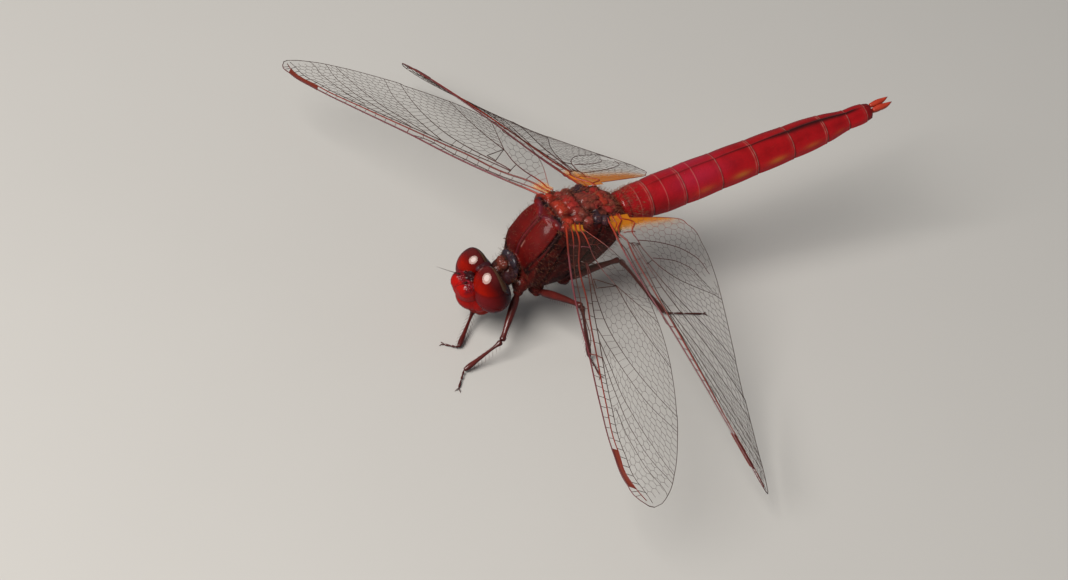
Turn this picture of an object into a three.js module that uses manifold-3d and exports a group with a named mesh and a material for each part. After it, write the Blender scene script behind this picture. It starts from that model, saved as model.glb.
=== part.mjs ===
// A male scarlet skimmer dragonfly, life size, standing on its six feet.
// Millimetres, +Z up. The head points to -Y and the animal's left side is +X.
// The body is drawn level in its own frame, with the origin in the middle of the
// thorax, and is then lifted and tipped a little. The legs are drawn on the floor.
import * as THREE from 'three';
import { mergeVertices } from 'three/addons/utils/BufferGeometryUtils.js';
import Module from 'manifold-3d';

const rad = THREE.MathUtils.degToRad;
const { lerp } = THREE.MathUtils;

// ---------------------------------------------------------------- driving dimensions

const JOINT_GAP = 0.15; // clear space between neighbouring pieces
const THORAX_HEIGHT = 9.0; // middle of the thorax above the floor
const BODY_PITCH = rad(3); // tail up

// Rings of the thorax from the neck to the waist.
const THORAX_SIDES = 24;
const THORAX_RINGS = [
  { y: -5.3, top: -0.7, bottom: -3.1, halfWidth: 1.4 },
  { y: -5.0, top: 0.3, bottom: -3.9, halfWidth: 2.1 },
  { y: -4.2, top: 1.7, bottom: -4.4, halfWidth: 2.5 },
  { y: -3.2, top: 2.75, bottom: -4.7, halfWidth: 2.65 },
  { y: -2.4, top: 3.1, bottom: -4.8, halfWidth: 2.65 },
  { y: -0.6, top: 3.2, bottom: -4.7, halfWidth: 2.65 },
  { y: 1.4, top: 3.0, bottom: -3.9, halfWidth: 2.6 },
  { y: 2.9, top: 2.5, bottom: -3.0, halfWidth: 2.35 },
  { y: 4.0, top: 2.1, bottom: -2.1, halfWidth: 2.0 },
  { y: 4.55, top: 1.8, bottom: -1.4, halfWidth: 1.6 },
];
const THORAX_SQUARENESS = 2.7; // 2 is an ellipse, more is boxier

const PROTHORAX = { y: -5.65, z: -2.2, halfWidth: 1.55, halfDepth: 0.65, halfHeight: 1.35 };
const NECK_RADIUS = 0.65;

// The abdomen is a tapering, slightly flattened tube with a keel along the back.
const ABDOMEN_START = { y: 4.7, z: 0.35 };
const ABDOMEN_PITCH = rad(7.4); // above the body's own level
const ABDOMEN_YAW = rad(1.8); // towards the left
const ABDOMEN_SIDES = 20;
const ABDOMEN_KEEL = 0.1;
const ABDOMEN_RINGS = [
  { at: 0, halfWidth: 1.4, halfHeight: 1.35 },
  { at: 0.8, halfWidth: 1.55, halfHeight: 1.45 },
  { at: 2.9, halfWidth: 1.72, halfHeight: 1.57 },
  { at: 6.2, halfWidth: 1.78, halfHeight: 1.6 },
  { at: 9.9, halfWidth: 1.72, halfHeight: 1.56 },
  { at: 13.6, halfWidth: 1.64, halfHeight: 1.5 },
  { at: 17.4, halfWidth: 1.54, halfHeight: 1.4 },
  { at: 21.0, halfWidth: 1.33, halfHeight: 1.2 },
  { at: 23.55, halfWidth: 0.93, halfHeight: 0.82 },
  { at: 25.5, halfWidth: 0.84, halfHeight: 0.74 },
  { at: 26.4, halfWidth: 0.58, halfHeight: 0.52 },
];
const SEGMENT_SWELL = 1.02; // middle of a segment against its two ends

const CERCUS = { length: 1.9, radius: 0.27, x: 0.32, z: 0.28, splay: rad(7), lift: rad(4) };
const EPIPROCT = { length: 1.5, radius: 0.27, z: -0.22, drop: rad(3) };

// The head, in a frame whose origin lies between the middles of the two eyes.
const HEAD = { y: -8.15, z: -2.9, nod: rad(12) };
const EYE = { x: 1.42, halfWidth: 1.66, halfDepth: 1.78, halfHeight: 2.3, lean: rad(16) };
const OCCIPUT = { x: 0, y: 0.55, z: -0.45, halfWidth: 2.75, halfDepth: 0.85, halfHeight: 2.25 };
const FRONS = { x: 0, y: -1.85, z: 0.15, halfWidth: 1.45, halfDepth: 1.2, halfHeight: 1.2 };
const CLYPEUS = { x: 0, y: -1.3, z: -1.45, halfWidth: 1.65, halfDepth: 1.35, halfHeight: 1.15 };
const LABRUM = { x: 0, y: -0.75, z: -2.7, halfWidth: 1.6, halfDepth: 1.3, halfHeight: 1.0 };
const VERTEX = { x: 0, y: -1.45, z: 1.3, halfWidth: 0.5, halfDepth: 0.5, halfHeight: 0.5 };
const ANTENNA = { length: 2.3, radius: 0.25, x: 0.6, y: -2.0, z: 1.5 };

// A wing is a thin twisted plate. Along its span the first number runs outwards from the
// hinge and the second runs backwards from the hinge line.
const WING_THICKNESS = 0.5;
const WING_SPAN_STEPS = 20;
const WING_CHORD_STEPS = 3;
const FOREWING = {
  hinge: { x: 2.1, y: -2.1, z: 2.85 },
  leading: [[0, 0], [3.7, -0.32], [9.2, -0.46], [14, -0.14], [19.3, 0.05], [24.3, 0.46],
    [27.4, 1.2], [28.8, 2], [29.3, 2.8]],
  trailing: [[0.2, 1.5], [2.6, 3.9], [5.2, 5.5], [8.7, 6.5], [13.1, 7.1], [17.5, 7.1], [21.8, 6.6],
    [25.3, 5.8], [27.9, 4.7], [29.0, 3.8], [29.3, 3.3]],
};
const HINDWING = {
  hinge: { x: 2.35, y: 2.1, z: 2.3 },
  leading: [[0, 0], [3.7, -0.37], [7.4, -0.46], [11.4, -0.18], [17.5, 0.1], [22.8, 0.5],
    [25.9, 1.2], [27.4, 2], [27.9, 2.8]],
  trailing: [[0.1, 2.4], [0.4, 5], [0.7, 7], [1.6, 8.6], [3.5, 9.4], [6.2, 9.6], [9.7, 9.2],
    [14, 8.4], [18.4, 7.4], [22.8, 6.25], [26.3, 4.9], [27.5, 4], [27.9, 3.4]],
};
// Sweep is forwards, droop is downwards, and twist lowers the trailing edge.
const WING_POSES = [
  { name: 'forewing_left', side: 1, plan: FOREWING, sweep: 22.5, droop: 4.1, root: 2.9, tip: 16.9 },
  { name: 'forewing_right', side: -1, plan: FOREWING, sweep: 25, droop: 5.9, root: -1, tip: 16 },
  { name: 'hindwing_left', side: 1, plan: HINDWING, sweep: 1.9, droop: 12.5, root: 14.5, tip: 54 },
  { name: 'hindwing_right', side: -1, plan: HINDWING, sweep: 3, droop: 14.9, root: 14.1, tip: 49 },
];

// Each leg: hip, knee, ankle and toe, measured from the floor under the thorax.
const LEG_SIDES = 8;
const FOOT_RADIUS = 0.28;
const SOLE_DEPTH = 0.18; // middle of the foot above the floor
const LEGS = [
  { name: 'left_fore', femur: 0.38, tibia: 0.27,
    hip: [1.2, -4.9, 4.4], knee: [4.3, -8, 2], ankle: [4.8, -11.8, 0.5], toe: [6.35, -13.2, 0] },
  { name: 'right_fore', femur: 0.38, tibia: 0.27,
    hip: [-1.2, -4.9, 4.4], knee: [-0.7, -7.7, 1.15], ankle: [2.2, -10.8, 0.5], toe: [1.3, -11.7, 0] },
  { name: 'left_mid', femur: 0.4, tibia: 0.28,
    hip: [1.3, -3.2, 3.7], knee: [6.6, -2.2, 6.4], ankle: [7.4, -0.5, 0.5], toe: [9.5, -0.7, 0] },
  { name: 'right_mid', femur: 0.4, tibia: 0.28,
    hip: [-1.3, -3.2, 3.7], knee: [-5.6, 0.4, 5.8], ankle: [-6.6, 0.4, 0.5], toe: [-7.9, -0.8, 0] },
  { name: 'left_hind', femur: 0.42, tibia: 0.28,
    hip: [1.5, -0.6, 4.2], knee: [2, 4.85, 5.4], ankle: [5.1, 8.9, 0.5], toe: [6.3, 12.3, 0] },
  { name: 'right_hind', femur: 0.42, tibia: 0.28,
    hip: [-1.5, -0.6, 4.2], knee: [-2.6, 4.7, 5.6], ankle: [-5.4, 8.4, 0.5], toe: [-7, 11.4, 0] },
];
const COXA_RADIUS = 0.75; // rounded stub on the thorax that carries each leg

// ---------------------------------------------------------------- materials

const standard = (color, roughness) => new THREE.MeshStandardMaterial({ color, roughness, metalness: 0 });
const MATERIALS = {
  eye: standard(0x7d1208, 0.12),
  face: standard(0xb01410, 0.3),
  headShell: standard(0x4a1210, 0.4),
  thorax: standard(0x7a1410, 0.6),
  abdomen: standard(0xa01018, 0.35),
  appendage: standard(0xc03a1c, 0.4),
  wing: standard(0xc8bba8, 0.25),
  leg: standard(0x4f1a12, 0.45),
  feeler: standard(0x1a0e0c, 0.5),
};

// ---------------------------------------------------------------- shape helpers

const wasm = await Module();
wasm.setup();

/** A closed solid for cutting and joining, from a geometry with no open edges. */
function toSolid(geometry) {
  const bare = geometry.clone();
  bare.deleteAttribute('normal');
  bare.deleteAttribute('uv');
  const merged = mergeVertices(bare, 1e-4);
  const corners = merged.index.array;
  const kept = [];
  for (let i = 0; i < corners.length; i += 3) {
    const [a, b, c] = corners.slice(i, i + 3);
    if (a !== b && b !== c && c !== a) kept.push(a, b, c);
  }
  return new wasm.Manifold(new wasm.Mesh({
    numProp: 3,
    vertProperties: Float32Array.from(merged.attributes.position.array),
    triVerts: Uint32Array.from(kept),
  }));
}

function toGeometry(solid) {
  const mesh = solid.getMesh();
  const geometry = new THREE.BufferGeometry();
  geometry.setAttribute('position', new THREE.BufferAttribute(mesh.vertProperties, 3));
  geometry.setIndex(new THREE.BufferAttribute(mesh.triVerts, 1));
  geometry.computeVertexNormals();
  return geometry;
}

/** Moves every vertex of a geometry by a rule. */
function reshape(geometry, rule) {
  const position = geometry.attributes.position;
  const vertex = new THREE.Vector3();
  for (let i = 0; i < position.count; i++) {
    vertex.fromBufferAttribute(position, i);
    rule(vertex);
    position.setXYZ(i, vertex.x, vertex.y, vertex.z);
  }
  geometry.computeVertexNormals();
  return geometry;
}

/** The mirror image across the body's middle plane, with its faces still pointing out. */
function mirrored(geometry) {
  const copy = geometry.clone().scale(-1, 1, 1);
  const corners = copy.index.array;
  for (let i = 0; i < corners.length; i += 3) {
    [corners[i], corners[i + 1]] = [corners[i + 1], corners[i]];
  }
  return copy;
}

/** An ellipsoid given by its middle and half sizes, made larger all round by margin. */
function ellipsoid(size, margin = 0, across = 18, around = 12) {
  const geometry = new THREE.SphereGeometry(1, across, around);
  geometry.scale(size.halfWidth + margin, size.halfHeight + margin, size.halfDepth + margin);
  geometry.rotateX(Math.PI / 2);
  geometry.rotateY(size.lean ?? 0);
  return geometry.translate(size.x ?? 0, size.y ?? 0, size.z ?? 0);
}

/**
 * A closed tube along Y through a list of rings, each with its middle height, half width
 * and half height. The keel raises the vertex at the top of every ring.
 */
function ringTube(rings, sides, squareness, keel = 0) {
  const outline = rings.map((_, i) => new THREE.Vector2(1, i));
  const profile = [new THREE.Vector2(0, 0), ...outline, new THREE.Vector2(0, rings.length - 1)];
  const power = 2 / squareness;
  return reshape(new THREE.LatheGeometry(profile, sides), (vertex) => {
    const ring = rings[Math.round(vertex.y)];
    const onAxis = Math.hypot(vertex.x, vertex.z) < 0.5;
    const round = (value) => Math.sign(value) * Math.abs(value) ** power;
    const atTop = !onAxis && vertex.z > 0.999;
    vertex.x = onAxis ? 0 : round(vertex.x) * ring.halfWidth;
    vertex.z = ring.z + (onAxis ? 0 : round(vertex.z) * ring.halfHeight) + (atTop ? keel : 0);
    vertex.y = ring.y;
  });
}

/** A closed round limb from start to end with its own radius along the way. */
function limb(start, end, radii, sides = LEG_SIDES) {
  const from = new THREE.Vector3(...start);
  const to = new THREE.Vector3(...end);
  const along = to.clone().sub(from);
  const length = along.length();
  const outline = radii.map(([share, radius]) => new THREE.Vector2(radius, share * length));
  const profile = [new THREE.Vector2(0, 0), ...outline, new THREE.Vector2(0, length)];
  const turn = new THREE.Quaternion().setFromUnitVectors(
    new THREE.Vector3(0, 1, 0), along.normalize());
  const geometry = new THREE.LatheGeometry(profile, sides).applyQuaternion(turn);
  return geometry.translate(from.x, from.y, from.z);
}

/** The point that lies a given distance before the end of the line from start to end. */
function stopShort(start, end, distance) {
  const from = new THREE.Vector3(...start);
  const to = new THREE.Vector3(...end);
  const length = from.distanceTo(to);
  return from.lerp(to, 1 - distance / length).toArray();
}

function addPart(group, name, geometry, material) {
  const mesh = new THREE.Mesh(geometry, material);
  mesh.name = name;
  group.add(mesh);
}

// ---------------------------------------------------------------- thorax and neck

const body = new THREE.Group();
body.rotation.x = BODY_PITCH;
body.position.z = THORAX_HEIGHT;
body.updateMatrix();
const floorToBody = body.matrix.clone().invert();

/** The thorax with a rounded stub for each leg, made larger all round by margin. */
function thoraxSolid(margin) {
  const rings = THORAX_RINGS.map(({ y, top, bottom, halfWidth }) => ({
    y: y + margin * Math.sign(y),
    z: (top + bottom) / 2,
    halfWidth: halfWidth + margin,
    halfHeight: (top - bottom) / 2 + margin,
  }));
  let solid = toSolid(ringTube(rings, THORAX_SIDES, THORAX_SQUARENESS));
  for (const leg of LEGS) {
    const hip = new THREE.Vector3(...leg.hip).applyMatrix4(floorToBody);
    const stub = new THREE.SphereGeometry(COXA_RADIUS + margin, 8, 6)
      .translate(hip.x, hip.y, hip.z + COXA_RADIUS);
    solid = solid.add(toSolid(stub));
  }
  return solid;
}

function addThorax() {
  addPart(body, 'thorax', toGeometry(thoraxSolid(0)), MATERIALS.thorax);
  const prothorax = toSolid(ellipsoid(PROTHORAX)).subtract(thoraxSolid(JOINT_GAP));
  addPart(body, 'prothorax', toGeometry(prothorax), MATERIALS.thorax);
}

// ---------------------------------------------------------------- head

function addHead() {
  const head = new THREE.Group();
  head.position.set(0, HEAD.y, HEAD.z);
  head.rotation.x = HEAD.nod;
  body.add(head);

  const eyeSolid = (side, margin) => {
    const size = { ...EYE, x: side * EYE.x, lean: side * -EYE.lean };
    return toSolid(ellipsoid(size, margin, 22, 14));
  };
  const bothEyes = eyeSolid(1, JOINT_GAP).add(eyeSolid(-1, JOINT_GAP));

  for (const [name, side] of [['left', 1], ['right', -1]]) {
    const halfSpace = new THREE.BoxGeometry(8, 8, 8).translate(side * (JOINT_GAP / 2 - 4), 0, 0);
    const eye = eyeSolid(side, 0).subtract(toSolid(halfSpace));
    addPart(head, `eye_${name}`, toGeometry(eye), MATERIALS.eye);
  }

  const pieces = [
    ['head_capsule', OCCIPUT, MATERIALS.headShell],
    ['frons', FRONS, MATERIALS.face],
    ['clypeus', CLYPEUS, MATERIALS.face],
    ['mouthparts', LABRUM, MATERIALS.face],
    ['vertex', VERTEX, MATERIALS.headShell],
  ];
  let taken = bothEyes;
  for (const [name, size, material] of pieces) {
    const piece = toSolid(ellipsoid(size)).subtract(taken);
    addPart(head, name, toGeometry(piece), material);
    taken = taken.add(toSolid(ellipsoid(size, JOINT_GAP)));
  }

  for (const [name, side] of [['left', 1], ['right', -1]]) {
    const start = [side * ANTENNA.x, ANTENNA.y, ANTENNA.z];
    const direction = new THREE.Vector3(side * 0.35, -0.85, 0.55).setLength(ANTENNA.length);
    const end = direction.add(new THREE.Vector3(...start)).toArray();
    const feeler = limb(start, end, [[0, ANTENNA.radius], [1, ANTENNA.radius]], 8);
    addPart(head, `antenna_${name}`, feeler, MATERIALS.feeler);
  }
}

function addNeck() {
  const back = [0, PROTHORAX.y, PROTHORAX.z - 0.1];
  const front = [0, HEAD.y + OCCIPUT.y, HEAD.z];
  const rod = limb(back, front, [[0, NECK_RADIUS], [1, NECK_RADIUS]], 12);
  const skull = ellipsoid(OCCIPUT, JOINT_GAP).rotateX(HEAD.nod).translate(0, HEAD.y, HEAD.z);
  const collar = ellipsoid(PROTHORAX, JOINT_GAP);
  const neck = toSolid(rod).subtract(toSolid(collar)).subtract(toSolid(skull));
  addPart(body, 'neck', toGeometry(neck), MATERIALS.headShell);
}

// ---------------------------------------------------------------- abdomen

function addAbdomen() {
  const abdomen = new THREE.Group();
  abdomen.position.set(0, ABDOMEN_START.y, ABDOMEN_START.z);
  abdomen.rotation.set(ABDOMEN_PITCH, 0, -ABDOMEN_YAW);
  body.add(abdomen);

  for (let i = 0; i + 1 < ABDOMEN_RINGS.length; i++) {
    const front = ABDOMEN_RINGS[i];
    const back = ABDOMEN_RINGS[i + 1];
    const ringAt = (share, y, swell) => ({
      y,
      z: 0,
      halfWidth: lerp(front.halfWidth, back.halfWidth, share) * swell,
      halfHeight: lerp(front.halfHeight, back.halfHeight, share) * swell,
    });
    const start = front.at + JOINT_GAP / 2;
    const end = back.at - JOINT_GAP / 2;
    const rings = [
      ringAt(0, start, 1),
      ringAt(0.5, (start + end) / 2, SEGMENT_SWELL),
      ringAt(1, end, 1),
    ];
    const segment = ringTube(rings, ABDOMEN_SIDES, 2.1, ABDOMEN_KEEL);
    addPart(abdomen, `abdomen_s${i + 1}`, segment, MATERIALS.abdomen);
  }

  const tail = ABDOMEN_RINGS.at(-1).at + JOINT_GAP / 2;
  const spindle = (radius) => [[0, radius * 0.6], [0.35, radius], [0.75, radius * 0.75], [1, 0.05]];
  for (const [name, side] of [['left', 1], ['right', -1]]) {
    const { length, radius, x, z, splay, lift } = CERCUS;
    const end = [side * (x + length * Math.sin(splay)), tail + length, z + length * Math.sin(lift)];
    const cercus = limb([side * x, tail, z], end, spindle(radius), 10);
    addPart(abdomen, `cercus_${name}`, cercus, MATERIALS.appendage);
  }
  const { length, radius, z, drop } = EPIPROCT;
  const end = [0, tail + length, z - length * Math.sin(drop)];
  addPart(abdomen, 'epiproct', limb([0, tail, z], end, spindle(radius), 10), MATERIALS.appendage);
}

// ---------------------------------------------------------------- wings

function addWing({ name, side, plan, sweep, droop, root, tip }) {
  const curve = (points) => new THREE.SplineCurve(points.map(([s, c]) => new THREE.Vector2(s, c)));
  const leading = curve(plan.leading);
  const trailing = curve(plan.trailing);
  const span = plan.leading.at(-1)[0];

  const outwards = new THREE.Vector3(
    Math.cos(rad(sweep)) * Math.cos(rad(droop)),
    -Math.sin(rad(sweep)) * Math.cos(rad(droop)),
    -Math.sin(rad(droop)),
  );
  const backwards = new THREE.Vector3(0, 1, 0);
  backwards.addScaledVector(outwards, -backwards.dot(outwards)).normalize();
  const upwards = new THREE.Vector3().crossVectors(outwards, backwards);
  const hinge = new THREE.Vector3(plan.hinge.x, plan.hinge.y, plan.hinge.z);

  const plate = new THREE.BoxGeometry(1, 1, 1, WING_SPAN_STEPS, WING_CHORD_STEPS, 1);
  reshape(plate, (vertex) => {
    const along = vertex.x + 0.5;
    const across = vertex.y + 0.5;
    const height = vertex.z * WING_THICKNESS;
    const planPoint = leading.getPointAt(along).lerp(trailing.getPointAt(along), across);
    const twist = rad(lerp(root, tip, THREE.MathUtils.clamp(planPoint.x / span, 0, 1)));
    vertex.copy(hinge)
      .addScaledVector(outwards, planPoint.x)
      .addScaledVector(backwards, planPoint.y * Math.cos(twist) + height * Math.sin(twist))
      .addScaledVector(upwards, height * Math.cos(twist) - planPoint.y * Math.sin(twist));
  });
  addPart(body, name, side > 0 ? plate : mirrored(plate), MATERIALS.wing);
}

// ---------------------------------------------------------------- legs

function addLeg(group, { name, femur, tibia, hip, knee, ankle, toe }) {
  const thigh = limb(hip, stopShort(hip, knee, JOINT_GAP),
    [[0, femur * 0.8], [0.2, femur], [0.75, femur * 0.9], [1, femur * 0.65]]);
  const nearThorax = toSolid(toGeometry(thoraxSolid(JOINT_GAP)).applyMatrix4(body.matrix));
  const femurSolid = toSolid(thigh).subtract(nearThorax);
  addPart(group, `${name}_femur`, toGeometry(femurSolid), MATERIALS.leg);

  const shin = limb(stopShort(ankle, knee, JOINT_GAP), stopShort(knee, ankle, JOINT_GAP),
    [[0, tibia * 0.95], [0.15, tibia], [1, tibia * 0.9]]);
  addPart(group, `${name}_tibia`, shin, MATERIALS.leg);

  // The foot lies along the floor, and its underside is flattened at the floor's level.
  const heel = [ankle[0], ankle[1], SOLE_DEPTH];
  const tip = [toe[0], toe[1], SOLE_DEPTH];
  const start = stopShort(tip, heel, -JOINT_GAP);
  const foot = limb(start, tip, [[0, FOOT_RADIUS], [0.8, FOOT_RADIUS], [1, FOOT_RADIUS * 0.7]]);
  reshape(foot, (vertex) => {
    vertex.z = Math.max(vertex.z, 0);
  });
  addPart(group, `${name}_tarsus`, foot, MATERIALS.leg);
}

// ---------------------------------------------------------------- the whole animal

const dragonfly = new THREE.Group();
dragonfly.add(body);
addThorax();
addHead();
addNeck();
addAbdomen();
WING_POSES.forEach(addWing);
LEGS.forEach((leg) => addLeg(dragonfly, leg));

// The origin is under the middle of the whole model, at floor level.
const bounds = new THREE.Box3().setFromObject(dragonfly, true);
const middle = bounds.getCenter(new THREE.Vector3());
dragonfly.position.set(-middle.x, -middle.y, -bounds.min.z);

export default dragonfly;
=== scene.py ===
"""A male scarlet skimmer dragonfly, life size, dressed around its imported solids.

The forms are worked out in millimetres in the body's own frame: the head points to -Y, the
animal's left side is +X, and the origin is the middle of the thorax. Legs are worked out
from the floor under the thorax. Every mesh is brought to metres and into the part's frame
as it is finished.
"""

import functools
import math

import bmesh
import bpy
import numpy as np
from mathutils import Matrix, Vector


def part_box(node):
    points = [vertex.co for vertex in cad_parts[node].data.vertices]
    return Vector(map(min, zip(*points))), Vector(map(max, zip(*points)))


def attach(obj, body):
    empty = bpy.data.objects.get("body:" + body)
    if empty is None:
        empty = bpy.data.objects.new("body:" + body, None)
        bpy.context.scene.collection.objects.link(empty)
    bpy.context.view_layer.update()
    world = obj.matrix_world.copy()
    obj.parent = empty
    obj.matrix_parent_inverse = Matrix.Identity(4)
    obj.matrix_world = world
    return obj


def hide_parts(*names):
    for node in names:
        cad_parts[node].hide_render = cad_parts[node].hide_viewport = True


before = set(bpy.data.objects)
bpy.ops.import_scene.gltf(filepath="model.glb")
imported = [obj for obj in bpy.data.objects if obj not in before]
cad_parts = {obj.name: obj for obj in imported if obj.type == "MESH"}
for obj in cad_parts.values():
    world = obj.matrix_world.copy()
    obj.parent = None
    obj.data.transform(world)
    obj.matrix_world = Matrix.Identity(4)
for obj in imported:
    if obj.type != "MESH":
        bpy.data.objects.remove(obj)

bl_info = {
    "name": "Scarlet Skimmer",
    "version": (1, 0, 0),
    "blender": (4, 5, 0),
    "location": "View3D > Sidebar > Dragonfly",
    "description": "Shell, eyes, wings, legs and hairs of a life-size dragonfly",
    "category": "Object",
}

MM = 0.001
SEED = 11
CATCH_COLLECTION = "eyes"

# ------------------------------------------------------------------ where the animal stands

BODY_PITCH = math.radians(3)
BODY_HEIGHT = 9.0
HEAD_PLACE = Vector((0, -8.15, -2.9))
HEAD_NOD = math.radians(12)


def body_frame():
    """The body's own frame, found from the two eyes, in millimetres of the part's frame."""
    corners = [*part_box("eye_left"), *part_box("eye_right")]
    middle = sum(corners, Vector()) / 4 / MM
    tilt = Matrix.Rotation(BODY_PITCH, 4, "X")
    head = tilt @ HEAD_PLACE
    return Matrix.Translation((middle.x, middle.y - head.y, BODY_HEIGHT)) @ tilt


BODY = body_frame()
FLOOR = Matrix.Translation((BODY.translation.x, BODY.translation.y, 0))
HEAD = BODY @ Matrix.Translation(HEAD_PLACE) @ Matrix.Rotation(HEAD_NOD, 4, "X")

# ------------------------------------------------------------------ forms, in millimetres

# y, top, bottom, half width
THORAX_RINGS = [
    (-5.3, -0.7, -3.1, 1.4), (-5.0, 0.3, -3.9, 2.1), (-4.2, 1.7, -4.4, 2.5),
    (-3.2, 2.75, -4.7, 2.65), (-2.4, 3.1, -4.8, 2.65), (-0.6, 3.2, -4.7, 2.65),
    (1.4, 3.0, -3.9, 2.6), (2.9, 2.5, -3.0, 2.35), (4.0, 2.1, -2.1, 2.0), (4.55, 1.8, -1.4, 1.6),
]
THORAX_SQUARENESS = 2.7

ABDOMEN = BODY @ Matrix.Translation((0, 4.7, 0.35)) @ Matrix.Rotation(
    math.radians(-1.8), 4, "Z") @ Matrix.Rotation(math.radians(7.4), 4, "X")
# place along the abdomen, half width, half height
ABDOMEN_RINGS = [
    (0, 1.4, 1.35), (0.8, 1.55, 1.45), (2.9, 1.72, 1.57), (6.2, 1.78, 1.6), (9.9, 1.72, 1.56),
    (13.6, 1.64, 1.5), (17.4, 1.54, 1.4), (21.0, 1.33, 1.2), (23.55, 0.93, 0.82),
    (25.5, 0.84, 0.74), (26.4, 0.58, 0.52),
]
ABDOMEN_JOINTS = [ring[0] for ring in ABDOMEN_RINGS[1:-1]]
ABDOMEN_SQUARENESS = 2.1
CROSS_RIDGES = [1.75, 4.3, 7.4]
# Strength of the warm spot on each side of the fourth ring and of those behind it
SIDE_SPOTS = [0.5, 0.95, 0.9, 0.55, 0.3]
TAIL_START = 26.3

FOREWING = {
    "hinge": (2.1, -2.1, 2.85),
    "nodus": 14.0,
    "spot": (24.0, 27.7),
    "leading": [(0, 0), (3.7, -0.32), (9.2, -0.46), (14, -0.2), (19.3, -0.06), (24.3, 0.3),
                (27.4, 1.02), (28.8, 1.9), (29.3, 2.8)],
    "trailing": [(0.2, 1.5), (2.6, 3.9), (5.2, 5.5), (8.7, 6.5), (13.1, 7.1), (17.5, 7.1),
                 (21.8, 6.6), (25.3, 5.8), (27.9, 4.7), (29.0, 3.8), (29.3, 3.3)],
    # place along the span, and share of the width behind the leading edge
    "veins": {
        "subcosta": [(0, 0.3), (2.6, 0.13), (8.7, 0.075), (13.1, 0.055), (14, 0)],
        "radius": [(0, 0.55), (2.6, 0.24), (8.7, 0.145), (14, 0.09), (19, 0.078), (24.1, 0.08),
                   (27.7, 0.17), (28.8, 0.34)],
        "sector": [(3.95, 0.29), (8, 0.225), (12, 0.185), (14, 0.165), (19, 0.155), (24, 0.19),
                   (27.4, 0.34), (28.9, 0.6)],
        "sector_2": [(14.2, 0.165), (18, 0.24), (22, 0.39), (25, 0.68), (26.6, 1)],
        "between_2": [(12.4, 0.18), (15, 0.235), (19, 0.36), (22.5, 0.6), (25, 0.88), (25.7, 1)],
        "sector_3": [(11, 0.193), (13, 0.27), (16, 0.43), (19, 0.68), (21.2, 1)],
        "media": [(3.95, 0.3), (8, 0.29), (12, 0.36), (16, 0.6), (18.6, 0.87), (19.6, 1)],
        "media_2": [(6.3, 0.62), (9, 0.7), (12, 0.84), (14.5, 1)],
        "cubitus": [(6.2, 0.62), (7.5, 0.76), (9, 0.92), (9.9, 1)],
        "anal": [(0, 0.82), (2.6, 0.5), (4.2, 0.5), (6.2, 0.62)],
        "between_1": [(19.5, 0.2), (23, 0.33), (26, 0.6), (27.9, 1)],
    },
    "bars": [((3.9, 0.2), (4.1, 0.5)), ((5.75, 0.315), (6.75, 0.325)),
             ((5.75, 0.315), (6.25, 0.62)), ((6.75, 0.325), (6.25, 0.62)),
             ((2.2, 0.29), (2.2, 0.56)), ((14, 0), (14.35, 0.17))],
    # upper vein and stretch, lower vein and stretch, cell length, cell width (0 for one row)
    "fields": [
        ("costa", 0.9, 13.9, "subcosta", 0.9, 13.6, 1.15, 0),
        ("subcosta", 0.9, 13.6, "radius", 0.9, 13.9, 1.15, 0),
        ("costa", 14.2, 24.0, "radius", 14.5, 24.0, 1.05, 0),
        ("costa", 27.7, 28.9, "radius", 27.7, 28.6, 0.5, 0),
        ("radius", 4.2, 14.2, "sector", 4.2, 14.2, 1.4, 0),
        ("radius", 14.5, 28.6, "sector", 14.5, 28.7, 0.85, 0),
        ("sector", 4.5, 11, "media", 4.5, 11, 1.0, 0),
        ("sector_3", 11.2, 21.2, "media", 11.2, 19.6, 0.66, 0.8),
        ("between_2", 12.6, 25.7, "sector_3", 12.2, 21.2, 0.66, 0.62),
        ("sector_2", 14.4, 26.6, "between_2", 14.2, 25.7, 0.66, 0.62),
        ("sector", 14.5, 28.7, "sector_2", 14.5, 26.6, 0.66, 0.58),
        ("media", 6.9, 19.6, "media_2", 6.4, 14.5, 0.66, 0.66),
        ("media_2", 6.5, 14.5, "cubitus", 6.3, 9.9, 0.66, 0.66),
        ("anal", 0.6, 6.2, "margin", 0.35, 6.8, 0.8, 0.75),
        ("cubitus", 6.3, 9.9, "margin", 6.9, 9.9, 0.6, 0.75),
    ],
}
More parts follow.
